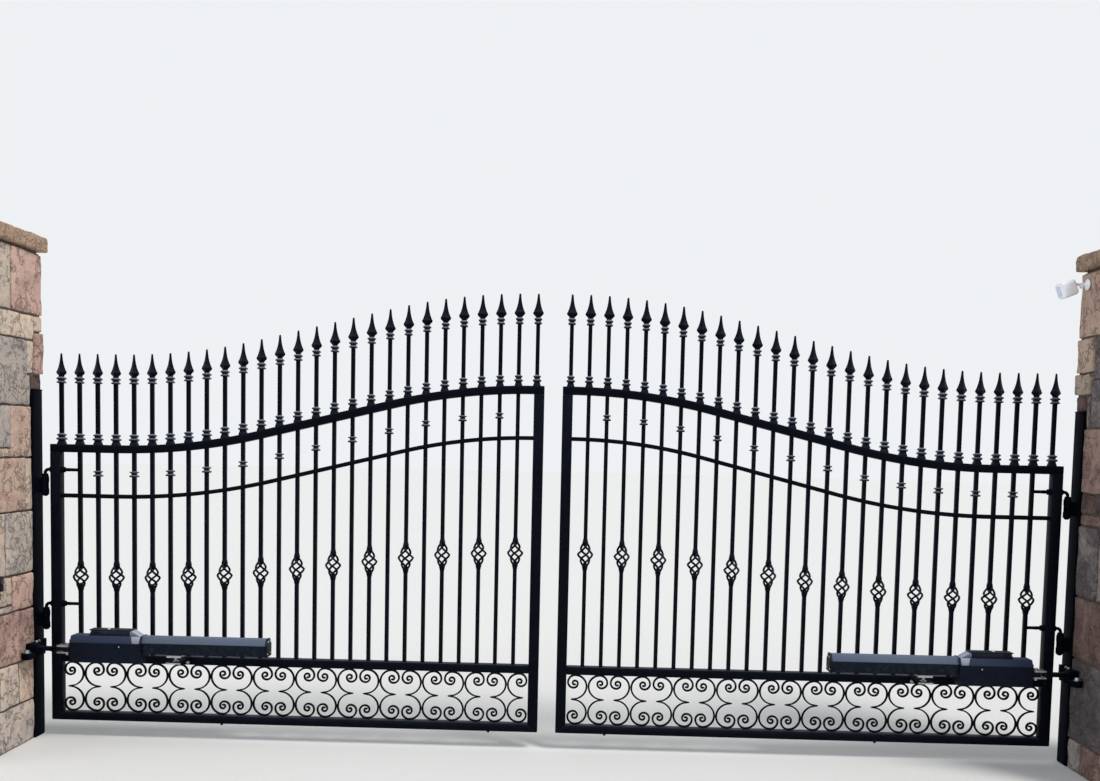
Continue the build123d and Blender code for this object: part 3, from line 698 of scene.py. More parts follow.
def addBlock(bm, x0, x1, y0, y1, z0, z1, tone, paintedLight, chance):
    # one rock-faced block, a little smaller than its cell
    r, gap = rock, pierSize["joint"] / 2
    block = bmesh.new()
    layer = block.loops.layers.float_color.new("blockTone")
    made = addBox(block, x0 + gap, x1 - gap, y0 + gap, y1 - gap, z0 + gap, z1 - gap)
    soften(block, made, r["soft"], 2)
    longEdges = [edge for edge in block.edges if edge.calc_length() > r["long"]]
    bmesh.ops.subdivide_edges(block, edges=longEdges, cuts=r["cuts"], use_grid_fill=True)
    shift = Vector((chance.uniform(0, 40), chance.uniform(0, 40), chance.uniform(0, 40)))
    roughen(block, lambda vert: vert.normal * (
        r["relief"] * noise.fractal(vert.co * r["reliefSize"] + shift, 0.9, 2.1, 3)
        + r["chips"] * noise.noise(vert.co * r["chipSize"] + shift)))
    spread = r["toneSpread"]
    # the second value is the block's painted light and shade level
    toneFaces(block, layer, (tone + chance.uniform(-spread, spread), chance.uniform(*paintedLight),
                             chance.random(), 1))
    merge(bm, block, Matrix.Identity(4))


def splitRow(chance, start, end, least, most):
    cuts = [start]
    while end - cuts[-1] > most:
        cuts.append(cuts[-1] + chance.uniform(least, most))
        if end - cuts[-1] < least:
            cuts[-1] = (cuts[-2] + end) / 2
    return cuts + [end]


def addRow(bm, chance, look, cells, z0, z1):
    # blocks of one course; a tall one is sometimes two stacked
    for x0, x1, y0, y1 in cells:
        levels = [z0, z1]
        if z1 - z0 > pierSize["tall"] and chance.random() < pierSize["stacked"]:
            levels.insert(1, z0 + (z1 - z0) * chance.uniform(0.38, 0.62))
        for low, high in zip(levels, levels[1:]):
            addBlock(bm, x0, x1, y0, y1, low, high, chance.choice(look["tones"]), look["paintedLight"], chance)


def buildPier(side, sign):
    p, look = pierSize, pierLook[side]
    chance = random.Random(look["seed"])
    bm = bmesh.new()
    bm.loops.layers.float_color.new("blockTone")
    inner, outer, half, thick = p["inner"], p["outer"], p["half"], p["stone"]
    faceDepth = inner + thick * 0.75
    for y0, y1, z0, z1, tone, proud in innerBlocks[side]:
        begins = y0 is None
        corner = -half + chance.uniform(*p["corner"]) if begins else y0
        addBlock(bm, inner - proud, faceDepth, corner, y1, z0, z1, tone, look["paintedLight"], chance)
        if not begins:
            continue
        low = chance.uniform(*p["corner"])
        cells = []
        xs = splitRow(chance, inner, outer, 0.13, 0.30)
        for i, (a, b) in enumerate(zip(xs, xs[1:])):
            deep = corner if i == 0 else (-half + low if i == len(xs) - 2 else -half + thick)
            cells.append((a, b, -half, deep))
        above = z0 >= p["chaseTop"]
        farDepth = chance.uniform(*p["corner"])
        xs = splitRow(chance, inner if above else p["chaseX"], outer, 0.12, 0.30)
        for i, (a, b) in enumerate(zip(xs, xs[1:])):
            a = faceDepth if above and i == 0 else a
            cells.append((a, b, half - (farDepth if i == len(xs) - 2 else thick), half))
        ys = splitRow(chance, -half + low, half - farDepth, 0.13, 0.32)
        cells += [(outer - thick, outer, a, b) for a, b in zip(ys, ys[1:])]
        addRow(bm, chance, look, cells, z0, z1)
    finishPiece(bm, f"pierStones_{side}", stoneFace, "piers", [f"pier_{side}"], 50, sign < 0)

    # mortar bed behind the blocks, and the rough infill over the steel post
    r, back = p["recess"], p["bedEnd"]
    x0, x1, y0, y1 = inner + r, outer - r, -half + r, half - r
    bm = bmesh.new()
    addSlab(bm, [(x0, y0), (x1, y0), (x1, y1), (p["chaseX"], y1), (p["chaseX"], back), (x0, back)],
            0.0, p["chaseTop"])
    addSlab(bm, [(x0, y0), (x1, y0), (x1, y1), (x0, y1)], p["chaseTop"] - 0.001, p["top"])
    finishPiece(bm, f"mortarBed_{side}", mortarMaterial, "piers", (), 30, sign < 0)

    # the stone over the steel post, darkened almost to black: painted shade at the top of the chase
    bm = bmesh.new()
    bm.loops.layers.float_color.new("blockTone")
    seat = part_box(f"hinge_post_{side}")[1].z - p["joint"] / 2 - lintel["seat"]
    addBlock(bm, inner + lintel["gap"], p["chaseX"], *lintel["y"], seat, lintel["top"], lintel["tone"],
             lintel["paintedLight"], chance)
    finishPiece(bm, f"lintel_{side}", stoneFace, "piers", (), 50, sign < 0)


def buildCap(side):
    low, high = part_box(f"pier_cap_{side}")
    c, chance = cap, random.Random(cap["seeds"][side])
    bm = bmesh.new()
    layer = bm.loops.layers.float_color.new("blockTone")
    rim = c["margin"]
    made = addBox(bm, low.x + rim, high.x - rim, low.y + rim, high.y - rim, low.z + c["bed"], high.z)
    soften(bm, made, c["soft"], 2)
    longEdges = [edge for edge in bm.edges if edge.calc_length() > c["long"]]
    bmesh.ops.subdivide_edges(bm, edges=longEdges, cuts=c["cuts"], use_grid_fill=True)
    upright = [edge for edge in bm.edges if abs(edge.verts[0].co.z - edge.verts[1].co.z) > c["tall"]]
    bmesh.ops.subdivide_edges(bm, edges=upright, cuts=2, use_grid_fill=True)
    shift = Vector((chance.uniform(0, 30), chance.uniform(0, 30), 0))

    def moveOf(vert):
        # the flat top and underside move less than the sides
        edgeward = 1.0 if abs(vert.normal.z) < 0.9 else 0.3
        rough = noise.fractal(vert.co * c["reliefSize"] + shift, 0.8, 2.2, 4)
        chips = abs(noise.noise(vert.co * c["chipSize"] + shift))
        return vert.normal * (c["relief"] * rough - c["chips"] * chips + 0.001) * edgeward

    roughen(bm, moveOf)
    # the cap's light level is painted light and shade: the left cap painted lit, the right cap painted in
    # shade
    toneFaces(bm, layer, (0.5, pierLook[side]["cap"], 0.3, 1))
    finishPiece(bm, f"capStone_{side}", capRock, "piers", [f"pier_cap_{side}"], 60)
    bm = bmesh.new()
    rim = c["bedMargin"]
    addBox(bm, low.x + rim, high.x - rim, low.y + rim, high.y - rim, low.z - 0.002, low.z + 0.03)
    finishPiece(bm, f"capBed_{side}", mortarMaterial, "piers", (), 30)


for side, sign in sides.items():
    buildPier(side, sign)
    buildCap(side)
print("piers")


# steel posts with hinge barrels

hinge = {"heights": (0.675, 1.345), "drop": 0.035, "barrel": 0.090, "radius": 0.018, "neck": 0.0165,
         "bore": 0.0082, "gusset": 0.035, "bolt": 0.008, "bend": 0.018, "tail": 0.008, "turns": 9,
         "thread": 0.0025}


def makePost(bm):
    h, high = hinge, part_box("hinge_post_right")[1]
    x, y, face = leaf["hingeX"], leaf["y"], leaf["postFace"]
    radius, neck, bore, length = h["radius"], h["neck"], h["bore"], h["barrel"]
    softBox(bm, face, high.x, y - 0.05, y + 0.05, 0.0, high.z - 0.004, 0.006, 3)
    softBox(bm, face - 0.001, high.x + 0.001, y - 0.051, y + 0.051, high.z - 0.006, high.z, 0.002)
    for height in h["heights"]:
        top = height - h["drop"]
        bottom = top - length
        middle = (top + bottom) / 2
        addTurned(bm, [(0, bore), (0, neck), (0.0015, radius), (0.0285, radius), (0.030, neck),
                       (0.060, neck), (0.0615, radius), (length - 0.0015, radius), (length, neck),
                       (length, bore), (0, bore)], (x, y, bottom), (0, 0, 1))
        softBox(bm, x + 0.012, face + 0.002, y - 0.008, y + 0.008, middle - h["gusset"],
                middle + h["gusset"], 0.002)
        for edge in (-1, 1):   # weld beads beside the gusset
            addTube(bm, [(face - 0.001, y + edge * 0.009, middle - 0.034 + 0.0068 * i
                          + 0.001 * math.sin(i * 2.4)) for i in range(11)], 0.0035, 1)


def makeHingeBolts(bm):
    h, y, x = hinge, leaf["y"], leaf["hingeX"]
    for height in h["heights"]:
        top, bend = height - h["drop"], h["bend"]
        foot = top - h["barrel"] - h["tail"]
        disc = bmesh.ops.create_circle(bm, cap_ends=True, segments=20, radius=h["bolt"])["verts"]
        bmesh.ops.translate(bm, vec=(x, y, foot), verts=disc)
        face = pulledFace(bm, disc[0].link_faces[0])
        bmesh.ops.translate(bm, vec=(0, 0, height - bend - foot), verts=list(face.verts))
        turned = bmesh.ops.spin(bm, geom=[face] + list(face.edges) + list(face.verts),
                                cent=(x - bend, y, height - bend), axis=(0, -1, 0), dvec=(0, 0, 0),
                                angle=math.radians(90), steps=8, use_merge=False,
                                use_duplicate=False)["geom_last"]
        face = pulledFace(bm, next(item for item in turned if isinstance(item, bmesh.types.BMFace)))
        reach = picketXs[-1] + leaf["bar"] - (x - bend)
        bmesh.ops.translate(bm, vec=(reach, 0, 0), verts=list(face.verts))
        addHex(bm, (x, y, top), (0, 0, 1), 0.026, 0.012, 0.017)
        addHex(bm, (x, y, foot + h["tail"]), (0, 0, -1), 0.024, 0.006)
        addHex(bm, (innerEnd, y, height), (-1, 0, 0), 0.027, 0.013, 0.017)
        addHex(bm, (leaf["end"], y, height), (1, 0, 0), 0.027, 0.010)
        for i in range(h["turns"]):   # thread beside the inner nut
            addTurned(bm, [(0, 0.008), (0.001, 0.0088), (0.002, 0.008)],
                      (innerEnd - 0.017 - i * h["thread"], y, height), (-1, 0, 0), 16)


bothSides(makePost, "steelPost", postPaint, "piers", "hinge_post")
bothSides(makeHingeBolts, "hingeBolts", postPaint, "leaf", "hinge_bolts")


# leaf frame

def bendToTop(bm, x0, x1, step=0.03):
    cuts = round((x1 - x0) / step)
    for i in range(1, cuts):
        bmesh.ops.bisect_plane(bm, geom=bm.verts[:] + bm.edges[:] + bm.faces[:], dist=0.00001,
                               plane_co=(x0 + (x1 - x0) * i / cuts, 0, 0), plane_no=(1, 0, 0))
    for vert in bm.verts:
        vert.co.z = curveHeight(vert.co.x, -vert.co.z)


rails = {"round": 0.003, "archHalf": 0.015, "archWall": 0.003, "drains": (0.29, 1.63), "clipX": 1.667,
         "clipLow": 0.118, "clipHigh": 0.400}


def addFrameBar(bm, outline):
    # a box section as deep as the leaf
    y, half = leaf["y"], leaf["depth"] / 2
    soften(bm, addPlate(bm, outline, y - half, y + half), rails["round"])


def addStile(bm, outside, inside, top):
    low, high = leaf["bottom"], top - leaf["rail"]
    addFrameBar(bm, [(outside, low), (outside, high), (inside, high), (inside, low + leaf["rail"])])


def addClipScrew(bm, z):
    addHex(bm, (rails["clipX"], leaf["y"] - leaf["depth"] / 2, z), (0, -1, 0), 0.013, 0.005)


def makeTopRail(bm):
    y, half = leaf["y"], leaf["depth"] / 2
    softBox(bm, leaf["start"], leaf["end"], y - half, y + half, -leaf["rail"], 0.0, rails["round"])
    bendToTop(bm, leaf["start"], leaf["end"])


def makeArchRail(bm):
    y, half, wall = leaf["y"], rails["archHalf"], rails["archWall"]
    top, bottom = -leaf["archDrop"], -leaf["archDrop"] - leaf["archHeight"]
    outline = [(y - half, bottom), (y - half, top), (y + half, top), (y + half, bottom),
               (y + half - wall, bottom), (y + half - wall, top - wall),
               (y - half + wall, top - wall), (y - half + wall, bottom)]
    soften(bm, addBar(bm, outline, innerStart, innerEnd), 0.001)
    bendToTop(bm, innerStart, innerEnd)


def makeBottomRail(bm):
    x0, x1, z, w = leaf["start"], leaf["end"], leaf["bottom"], leaf["stile"]
    addFrameBar(bm, [(x0, z), (x1, z), (x1 - w, z + leaf["rail"]), (x0 + w, z + leaf["rail"])])
    for x in rails["drains"]:
        addTurned(bm, [(0, 0), (0, 0.007), (0.006, 0.007), (0.009, 0.0045), (0.009, 0)],
                  (x, leaf["y"] - 0.012, z), (0, 0, -1), 16)
    addClipScrew(bm, rails["clipLow"])


def makeMidRail(bm):
    y, half = leaf["y"], leaf["depth"] / 2
    softBox(bm, innerStart, innerEnd, y - half, y + half, leaf["midBottom"], leaf["midTop"], rails["round"])
    addClipScrew(bm, rails["clipHigh"])


def makeOuterStile(bm):
    addStile(bm, leaf["end"], innerEnd, leaf["hingeTop"])


def makeInnerStile(bm):
    addStile(bm, leaf["start"], innerStart, leaf["centreTop"])


for make, name, node in (
        (makeTopRail, "topRail", "top_rail"), (makeArchRail, "archRail", "arch_rail"),
        (makeBottomRail, "bottomRail", "bottom_rail"), (makeMidRail, "midRail", "mid_rail"),
        (makeOuterStile, "outerStile", "outer_stile"), (makeInnerStile, "innerStile", "inner_stile")):
    bothSides(make, name, gatePaint, "leaf", node)


# pickets, collars and baskets

basket = {"half": 0.0590, "plug": 0.022, "radius": 0.0358, "wire": 0.0056, "reach": 0.0085, "twist": 290.0,
          "steps": 20}
collarOutline = [
    (-0.0165, 0.0092), (-0.0158, 0.0170), (-0.0140, 0.0196), (-0.0120, 0.0203), (-0.0095, 0.0203),
    (-0.0075, 0.0195), (-0.0062, 0.0150), (-0.0045, 0.0122), (0.0030, 0.0120), (0.0045, 0.0142),
    (0.0058, 0.0178), (0.0075, 0.0192), (0.0100, 0.0192), (0.0118, 0.0175), (0.0128, 0.0130),
    (0.0135, 0.0092)]
plugOutline = [(-0.026, 0.0094), (-0.018, 0.0110), (-0.008, 0.0132), (0.0, 0.0145), (0.005, 0.0138),
               (0.011, 0.0112), (0.018, 0.0078), (0.024, 0.0040)]


def basketCentre(x):
    return (curveHeight(x, leaf["archDrop"] + leaf["archHeight"]) + leaf["midTop"]) / 2


def stackMesh(name, outline, corner):
    single = bmesh.new()
    addStack(single, 0, 0, 0, outline, corner)
    return keepMesh(single, name)


def addPicketBar(bm, x, z0, z1):
    y, half = leaf["y"], leaf["bar"]
    softBox(bm, x - half, x + half, y - half, y + half, z0, z1, 0.0012, 1)


def makePickets(bm):
    y, foot = leaf["y"], leaf["midTop"] - 0.003
    collar = stackMesh("collar", collarOutline, 0.14)
    # the collars take the ring paint, with its painted highlight on faces that look up
    for polygon in collar.polygons:
        polygon.material_index = 1
    plug = stackMesh("plug", plugOutline, 0.3)
    flip = Matrix.Rotation(math.pi, 4, "X")
    for i, x in enumerate(picketXs):
        top = curveHeight(x, leaf["rail"]) + 0.006
        if i % 2:
            addPicketBar(bm, x, foot, top)
            middle = (curveHeight(x, leaf["rail"]) + curveHeight(x, leaf["archDrop"])) / 2
            stamp(bm, collar, Matrix.Translation((x, y, middle)))
            continue
        centre = basketCentre(x)
        reach = basket["half"] + basket["plug"]
        addPicketBar(bm, x, foot, centre - reach)
        addPicketBar(bm, x, centre + reach, top)
        stamp(bm, plug, Matrix.Translation((x, y, centre - basket["half"])))
        stamp(bm, plug, Matrix.Translation((x, y, centre + basket["half"])) @ flip)


def makeBaskets(bm):
    # four round wires that twist and bulge to a straight-sided lantern, two of them crossing mid-way
    single = bmesh.new()
    for wire in range(4):
        points = []
        for i in range(basket["steps"] + 1):
            t = i / basket["steps"]
            swell = 1 - abs(2 * t - 1)
            radius = basket["reach"] + (basket["radius"] - basket["reach"]) * swell
            angle = math.radians(90 * wire + basket["twist"] * (t - 0.5))
            points.append((radius * math.cos(angle), radius * math.sin(angle),
                           (2 * t - 1) * (basket["half"] + 0.004)))
        addTube(single, points, basket["wire"], 1)
    single = keepMesh(single, "basketWires")
    for x in picketXs[::2]:
        stamp(bm, single, Matrix.Translation((x, leaf["y"], basketCentre(x))))


bothSides(makePickets, "picketBars", [gatePaint, ringPaint], "leaf", "pickets")
bothSides(makeBaskets, "wireBaskets", gatePaint, "leaf", "baskets", 60)


# spears

spearFoot = [
    (-0.0110, 0.0190), (0.0020, 0.0190), (0.0080, 0.0172), (0.0150, 0.0148), (0.0200, 0.0142),
    (0.0212, 0.0180), (0.0232, 0.0208), (0.0262, 0.0214), (0.0292, 0.0208), (0.0315, 0.0180),
    (0.0330, 0.0135), (0.0395, 0.0130), (0.0410, 0.0158), (0.0430, 0.0182), (0.0460, 0.0186),
    (0.0488, 0.0178), (0.0508, 0.0150), (0.0522, 0.0110), (0.0535, 0.0096), (0.2990, 0.0096),
    (0.3000, 0.0150), (0.3018, 0.0182), (0.3045, 0.0190), (0.3072, 0.0182), (0.3092, 0.0150),
    (0.3110, 0.0130), (0.3160, 0.0128), (0.3180, 0.0155), (0.3200, 0.0186), (0.3228, 0.0194),
    (0.3262, 0.0186), (0.3290, 0.0150), (0.3315, 0.0112), (0.3400, 0.0098)]
spearHead = [
    (0.3300, 0.0080), (0.3370, 0.0098), (0.3440, 0.0148), (0.3490, 0.0178), (0.3530, 0.0186),
    (0.3570, 0.0179), (0.3670, 0.0143), (0.3790, 0.0112), (0.3910, 0.0088), (0.4030, 0.0069),
    (0.4150, 0.0055), (0.4270, 0.0045), (0.4380, 0.0038), (0.4450, 0.0032), (0.4475, 0.0018)]
# the rings take the ring paint, with its painted highlight on faces that look up
ringHeights = ((0.019, 0.053), (0.2995, 0.333))   # where the spear carries its turned rings


def makeSpears(bm):
    single = bmesh.new()
    addStack(single, 0, 0, 0, spearFoot, 0.12)
    for face in single.faces:
        level = face.calc_center_median().z
        face.material_index = int(any(low < level < high for low, high in ringHeights))
    addStack(single, 0, 0, 0, spearHead, 0.0, 45)
    single = keepMesh(single, "spear")
    for x in spearXs:
        stamp(bm, single, Matrix.Translation((x, leaf["y"], curveHeight(x))))


bothSides(makeSpears, "spearBars", [gatePaint, ringPaint], "leaf", "spears", 25)


# scrolls

scroll = {"bar": 0.0095, "height": 0.255, "gap": 0.0004, "pairs": 11, "edge": 0.0009,
          "radii": (0.05625, 0.0365, 0.0275, 0.0210, 0.0140, 0.0110, 0.0075),
          "turns": (90, 90, 95, 90, 95, 90, 140), "steps": (9, 9, 10, 9, 9, 9, 12),
          "stub": ((0.082, 0.0012), (0.073, 0.0021), (0.062, 0.0030)), "lean": (0.038, 0.0040),
          "lift": 0.029, "leanSteps": 12}


def volutePath():
    # the upper half of a scroll, from the stub's tip into the eye: point, outward side, half thickness
    s = scroll
    half, radius = s["bar"] / 2, s["radii"][0]
    back = half + s["gap"] / 2
    u, v = back + radius, s["height"] / 2 - back - radius
    path = [(Vector(point), Vector((0, -1)), point[1]) for point in s["stub"]]
    guide = [Vector(s["stub"][-1]), Vector(s["lean"]), Vector((back, s["lift"])), Vector((back, v))]
    for i in range(1, s["leanSteps"] + 1):
        t = i / s["leanSteps"]
        line = guide
        while len(line) > 2:
            line = [start.lerp(end, t) for start, end in zip(line, line[1:])]
        ahead = (line[1] - line[0]).normalized()
        path.append((line[0].lerp(line[1], t), Vector((-ahead.y, ahead.x)),
                     s["stub"][-1][1] + (half - s["stub"][-1][1]) * t))
    angle = math.radians(180)
    for tighter, turn, steps in zip(s["radii"], s["turns"], s["steps"]):
        centre = Vector((u, v)) + Vector((math.cos(angle), math.sin(angle))) * (radius - tighter)
        (u, v), radius = centre, tighter
        for i in range(1, steps + 1):
            a = angle - math.radians(turn) * i / steps
            out = Vector((math.cos(a), math.sin(a)))
            path.append((centre + out * radius, out, half))
        angle -= math.radians(turn)
    return path


def makeVolute(bm):
    # a square bar with broken edges: its end face is drawn out along the path, step by step
    deep, cut = scroll["bar"] / 2, scroll["edge"]
    face = previous = None
    for point, out, half in volutePath():
        grow = half / deep
        place = Matrix(((out.x * grow, 0, -out.y, point.x), (0, 1, 0, 0),
                        (out.y * grow, 0, out.x, point.y), (0, 0, 0, 1)))
        if face is None:
            made = bmesh.ops.create_grid(bm, x_segments=1, y_segments=1, size=deep)["verts"]
            bmesh.ops.bevel(bm, geom=made, offset=cut, offset_type="OFFSET", segments=1, profile=0.5,
                            affect="VERTICES", material=-1)
            bm.faces.ensure_lookup_table()
            face, step = bm.faces[0], place
        else:
            face = pulledFace(bm, face)
            step = place @ previous.inverted()
        bmesh.ops.transform(bm, matrix=step, verts=list(face.verts))
        previous = place


def makeScrolls(bm):
    # pairs back to back, so the openings face each other and the stiles
    upper = bmesh.new()
    makeVolute(upper)
    upper = keepMesh(upper, "volute")
    plain = Matrix.Identity(4)
    spacing = (innerEnd - innerStart) / scroll["pairs"]
    middle = leaf["bottom"] + leaf["rail"] + scroll["height"] / 2
    for i in range(scroll["pairs"]):
        place = Matrix.Translation((innerStart + spacing * (i + 0.5), leaf["y"], middle))
        for turn in (plain, Matrix.Scale(-1, 4, (1, 0, 0))):
            for half in (plain, Matrix.Scale(-1, 4, (0, 0, 1))):
                stamp(bm, upper, place @ turn @ half)


bothSides(makeScrolls, "scrollBars", gatePaint, "leaf", "scrolls", 40)


# operators

operator = {
    "y": 0.115, "pivotX": 2.355, "pivotZ": 0.470, "start": 1.975, "end": 2.323, "bottom": 0.415,
    "top": 0.545, "half": 0.055, "cut": (0.020, 0.032), "hump": 0.034, "draft": 0.008, "rise": 0.030,
    "lidStart": 2.036, "lidEnd": 2.234, "tubeStart": 1.370, "tubeHalf": 0.042, "tubeCut": (0.022, 0.030),
    "tubeBottom": 0.461, "wall": 0.004, "carriageX": 1.820, "ear": 0.009, "slot": 0.010, "proud": 0.0015,
    "lug": 0.020, "lugHalf": 0.012, "dot": (2.079, 0.496),
    "highlightPatch": ((0.003, 0), (0.003, 1), (0.052, 1), (0.040, 0)),
    "screws": ((-0.028, 0.474), (0.028, 0.474), (-0.016, 0.532), (0.016, 0.532)),
}


def casingLine(half, cut, drop, z0, z1):
    # the six corners of a casing with broken upper edges
    y = operator["y"]
    return [(y + half, z0), (y + half, z1 - drop), (y + half - cut, z1), (y - half + cut, z1),
            (y - half, z1 - drop), (y - half, z0)]


def tubeLine(inset):
    o = operator
    cut, drop = (size - inset * (2 - math.sqrt(2)) for size in o["tubeCut"])
    return casingLine(o["tubeHalf"] - inset, cut, drop, o["tubeBottom"] + inset, o["top"] - inset)


def makeHousing(bm):
    o = operator
    y, half, (cut, drop), start, top = o["y"], o["half"], o["cut"], o["start"], o["top"]
    outline = casingLine(half, cut, drop, o["bottom"], top)
    soften(bm, addBar(bm, outline, start + 0.004, o["end"]), 0.004, 3)
    # flange where the tube enters, a shade proud of the body
    grow = o["proud"]
    flange = [(a + math.copysign(grow, a - y), b + (grow if b > 0.5 else -grow)) for a, b in outline]
    soften(bm, addBar(bm, flange, start, start + 0.007), 0.0012)
    # the casting whose shoulder slopes from the lid down to the tube, in the lighter cast paint as a painted
    # highlight; the thin light patch on the front chamfer is a painted highlight
    first = set(bm.faces)
    h, d, seat = o["hump"], o["draft"], top - 0.002
    soften(bm, addPrism(bm, [(start + 0.004, y - h, seat), (o["lidStart"], y - h, seat),
                             (o["lidStart"], y - h + d, top + o["rise"])], (0, 2 * h - d, 0)), 0.003)
    slope = Vector((0, -drop, cut)).normalized()
    highlightPatch = [Vector((start + along, y - half + cut * up, top - drop + drop * up)) - slope * 0.001
             for along, up in o["highlightPatch"]]
    soften(bm, addPrism(bm, highlightPatch, slope * 0.0026), 0.0006)
    paintNew(bm, first, 2)
    # end plate with the lug on the pivot
    softBox(bm, o["end"] - 0.002, o["end"] + 0.003, y - half + 0.008, y + half - 0.008,
            o["bottom"] + 0.010, top - 0.020, 0.002)
    x0, x1, w, n = o["end"] - 0.003, o["pivotX"], o["lug"], o["lug"] / 2
    soften(bm, addSlab(bm, [(x0, y - w), (x1 + n, y - w), (x1 + w, y - n), (x1 + w, y + n),
                            (x1 + n, y + w), (x0, y + w)],
                       o["pivotZ"] - o["lugHalf"], o["pivotZ"] + o["lugHalf"]), 0.002)
    first = set(bm.faces)
    addTurned(bm, [(0, 0), (0, 0.0036), (0.001, 0.0032), (0.0014, 0.0)],
              (o["dot"][0], y - half, o["dot"][1]), (0, -1, 0), 16)
    paintNew(bm, first, 1)


def makeLid(bm):
    o = operator
    y, h, d, top, start, end = o["y"], o["hump"], o["draft"], o["top"] + o["rise"], o["lidStart"], o["lidEnd"]
    outline = [(y + h, o["top"]), (y + h - d, top), (y - h + d, top), (y - h, o["top"])]
    made = addBar(bm, outline, start + 0.0008, end)
    slope = [vert for vert in made if vert.co.x > end - 0.001 and vert.co.z > o["top"] + 0.001]
    bmesh.ops.translate(bm, vec=(-d, 0, 0), verts=slope)
    soften(bm, made, 0.003, 2)
    # top plate with small ears at its ends
    softBox(bm, start - o["ear"], end - d + o["ear"], y - h + d - 0.003, y + h - d + 0.003,
            top - 0.006, top, 0.002)
    # thumb catch and key lock
    softBox(bm, end - 0.050, end - 0.024, y - h + 0.001, y - h + 0.006, top - 0.022, top - 0.008, 0.0015)
    first = set(bm.faces)
    addTurned(bm, [(0, 0), (0, 0.009), (0.002, 0.008), (0.002, 0.004), (0.001, 0.0)],
              (end - 0.085, y, top), (0, 0, 1), 20)
    paintNew(bm, first, 1)


def makeTube(bm):
    o = operator
    y, slot = o["y"], o["slot"]
    outside, inside = tubeLine(0), tubeLine(o["wall"])[::-1]
    low, high = outside[0][1], inside[0][1]
    soften(bm, addBar(bm, [(y + slot, low)] + outside + [(y - slot, low), (y - slot, high)] + inside
                      + [(y + slot, high)], o["tubeStart"], o["start"] + 0.002), 0.0012)


def makeEndCap(bm):
    o = operator
    end = o["tubeStart"] - 0.010
    soften(bm, addBar(bm, tubeLine(-0.003), end, o["tubeStart"] + 0.001), 0.003, 3)
    first = set(bm.faces)
    for dy, z in o["screws"]:
        addTurned(bm, [(0, 0), (0, 0.0045), (0.0015, 0.004), (0.002, 0.0)], (end, o["y"] + dy, z),
                  (-1, 0, 0), 14)
    paintNew(bm, first, 1)


bothSides(makeHousing, "motorHousing", [casingPaint, boltSteel, castPaint], "operator",
          "operator_housing")
bothSides(makeLid, "releaseLid", [coverPlastic, boltSteel], "operator", "release_cover")
bothSides(makeTube, "operatorTube", tubePaint, "operator", "operator_tube")
bothSides(makeEndCap, "tubeEndCap", [coverPlastic, boltSteel], "operator", "tube_end_cap")


# brackets

bracket = {
    "low": 0.450, "high": 0.482, "plate": 0.008, "half": 0.020, "waist": (0.461, 0.479), "crotch": 0.4705,
    "foot": 0.026, "footY": 0.060, "footDepth": 0.026, "shoe": 0.040, "shoeEnd": 0.235,
    "bolts": (0.055, 0.085),
}
leafPlate = {"half": 0.040, "nose": 0.018, "corner": 0.022, "plate": 0.008, "bolts": (-0.026, 0.026)}


def forkTip(bm, z):
    # galvanised prong that holds the operator's pin
    o, b = operator, bracket
    y, half, tip, joint = o["y"], b["half"] - 0.0002, o["pivotX"] - 0.020, o["pivotX"] + 0.046
    soften(bm, addSlab(bm, [(joint, y - half), (joint, y + half), (tip + 0.010, y + half),
                            (tip, y + half / 2), (tip, y - half / 2), (tip + 0.010, y - half)],
                       z, z + b["plate"]), 0.0015)


def makeOperatorArm(bm):
    o, b, face = operator, bracket, leaf["postFace"]
    y, low, high, plate, half = o["y"], b["low"], b["high"], b["plate"], b["half"]
    joint, (under, over), foot = o["pivotX"] + 0.045, b["waist"], (face - b["foot"], b["footY"])
    # the arm is waisted between the fork and the post
    seat, wide, slim = face - 0.0005, face - 0.044, face - 0.070
    soften(bm, addPlate(bm, [
        (joint, low), (joint + 0.034, under), (slim, under), (wide, low - 0.002), (seat, low - 0.002),
        (seat, high + plate + 0.002), (wide, high + plate + 0.002), (slim, over), (joint + 0.034, over),
        (joint, high + plate), (joint, high), (joint + 0.022, b["crotch"]), (joint, low + plate)],
        y - half, y + half), 0.0015)
    for z in (low, high):
        softBox(bm, face - b["shoe"], seat, y, b["shoeEnd"], z, z + plate, 0.0015)
    softBox(bm, face - b["shoe"], face - 0.001, 0.195, b["shoeEnd"], 0.440, 0.500, 0.002)
    # the foot below the arm, in front of the post
    softBox(bm, face - 2 * b["foot"], seat, foot[1], 0.200, low - b["footDepth"] + 0.004, low + 0.001, 0.003)
    addRod(bm, (*foot, low - b["footDepth"]), (*foot, low + plate - 0.003), b["foot"], 32, 0.002)
    first = set(bm.faces)
    forkTip(bm, low)
    forkTip(bm, high)
    paintNew(bm, first, 2)
    first = set(bm.faces)
    addRod(bm, (o["pivotX"], y, low - 0.004), (o["pivotX"], y, high + plate), 0.007, 20)
    addHex(bm, (*foot, low + plate - 0.003), (0, 0, 1), 0.022, 0.012, 0.019)
    addHex(bm, (o["pivotX"], y, high + plate), (0, 0, 1), 0.022, 0.008, 0.014)
    addHex(bm, (o["pivotX"], y, low), (0, 0, -1), 0.020, 0.007, 0.013)
    for dy in b["bolts"]:
        addHex(bm, (face - 0.020, y + dy, high + plate), (0, 0, 1), 0.014, 0.006, 0.010)
    paintNew(bm, first, 1)


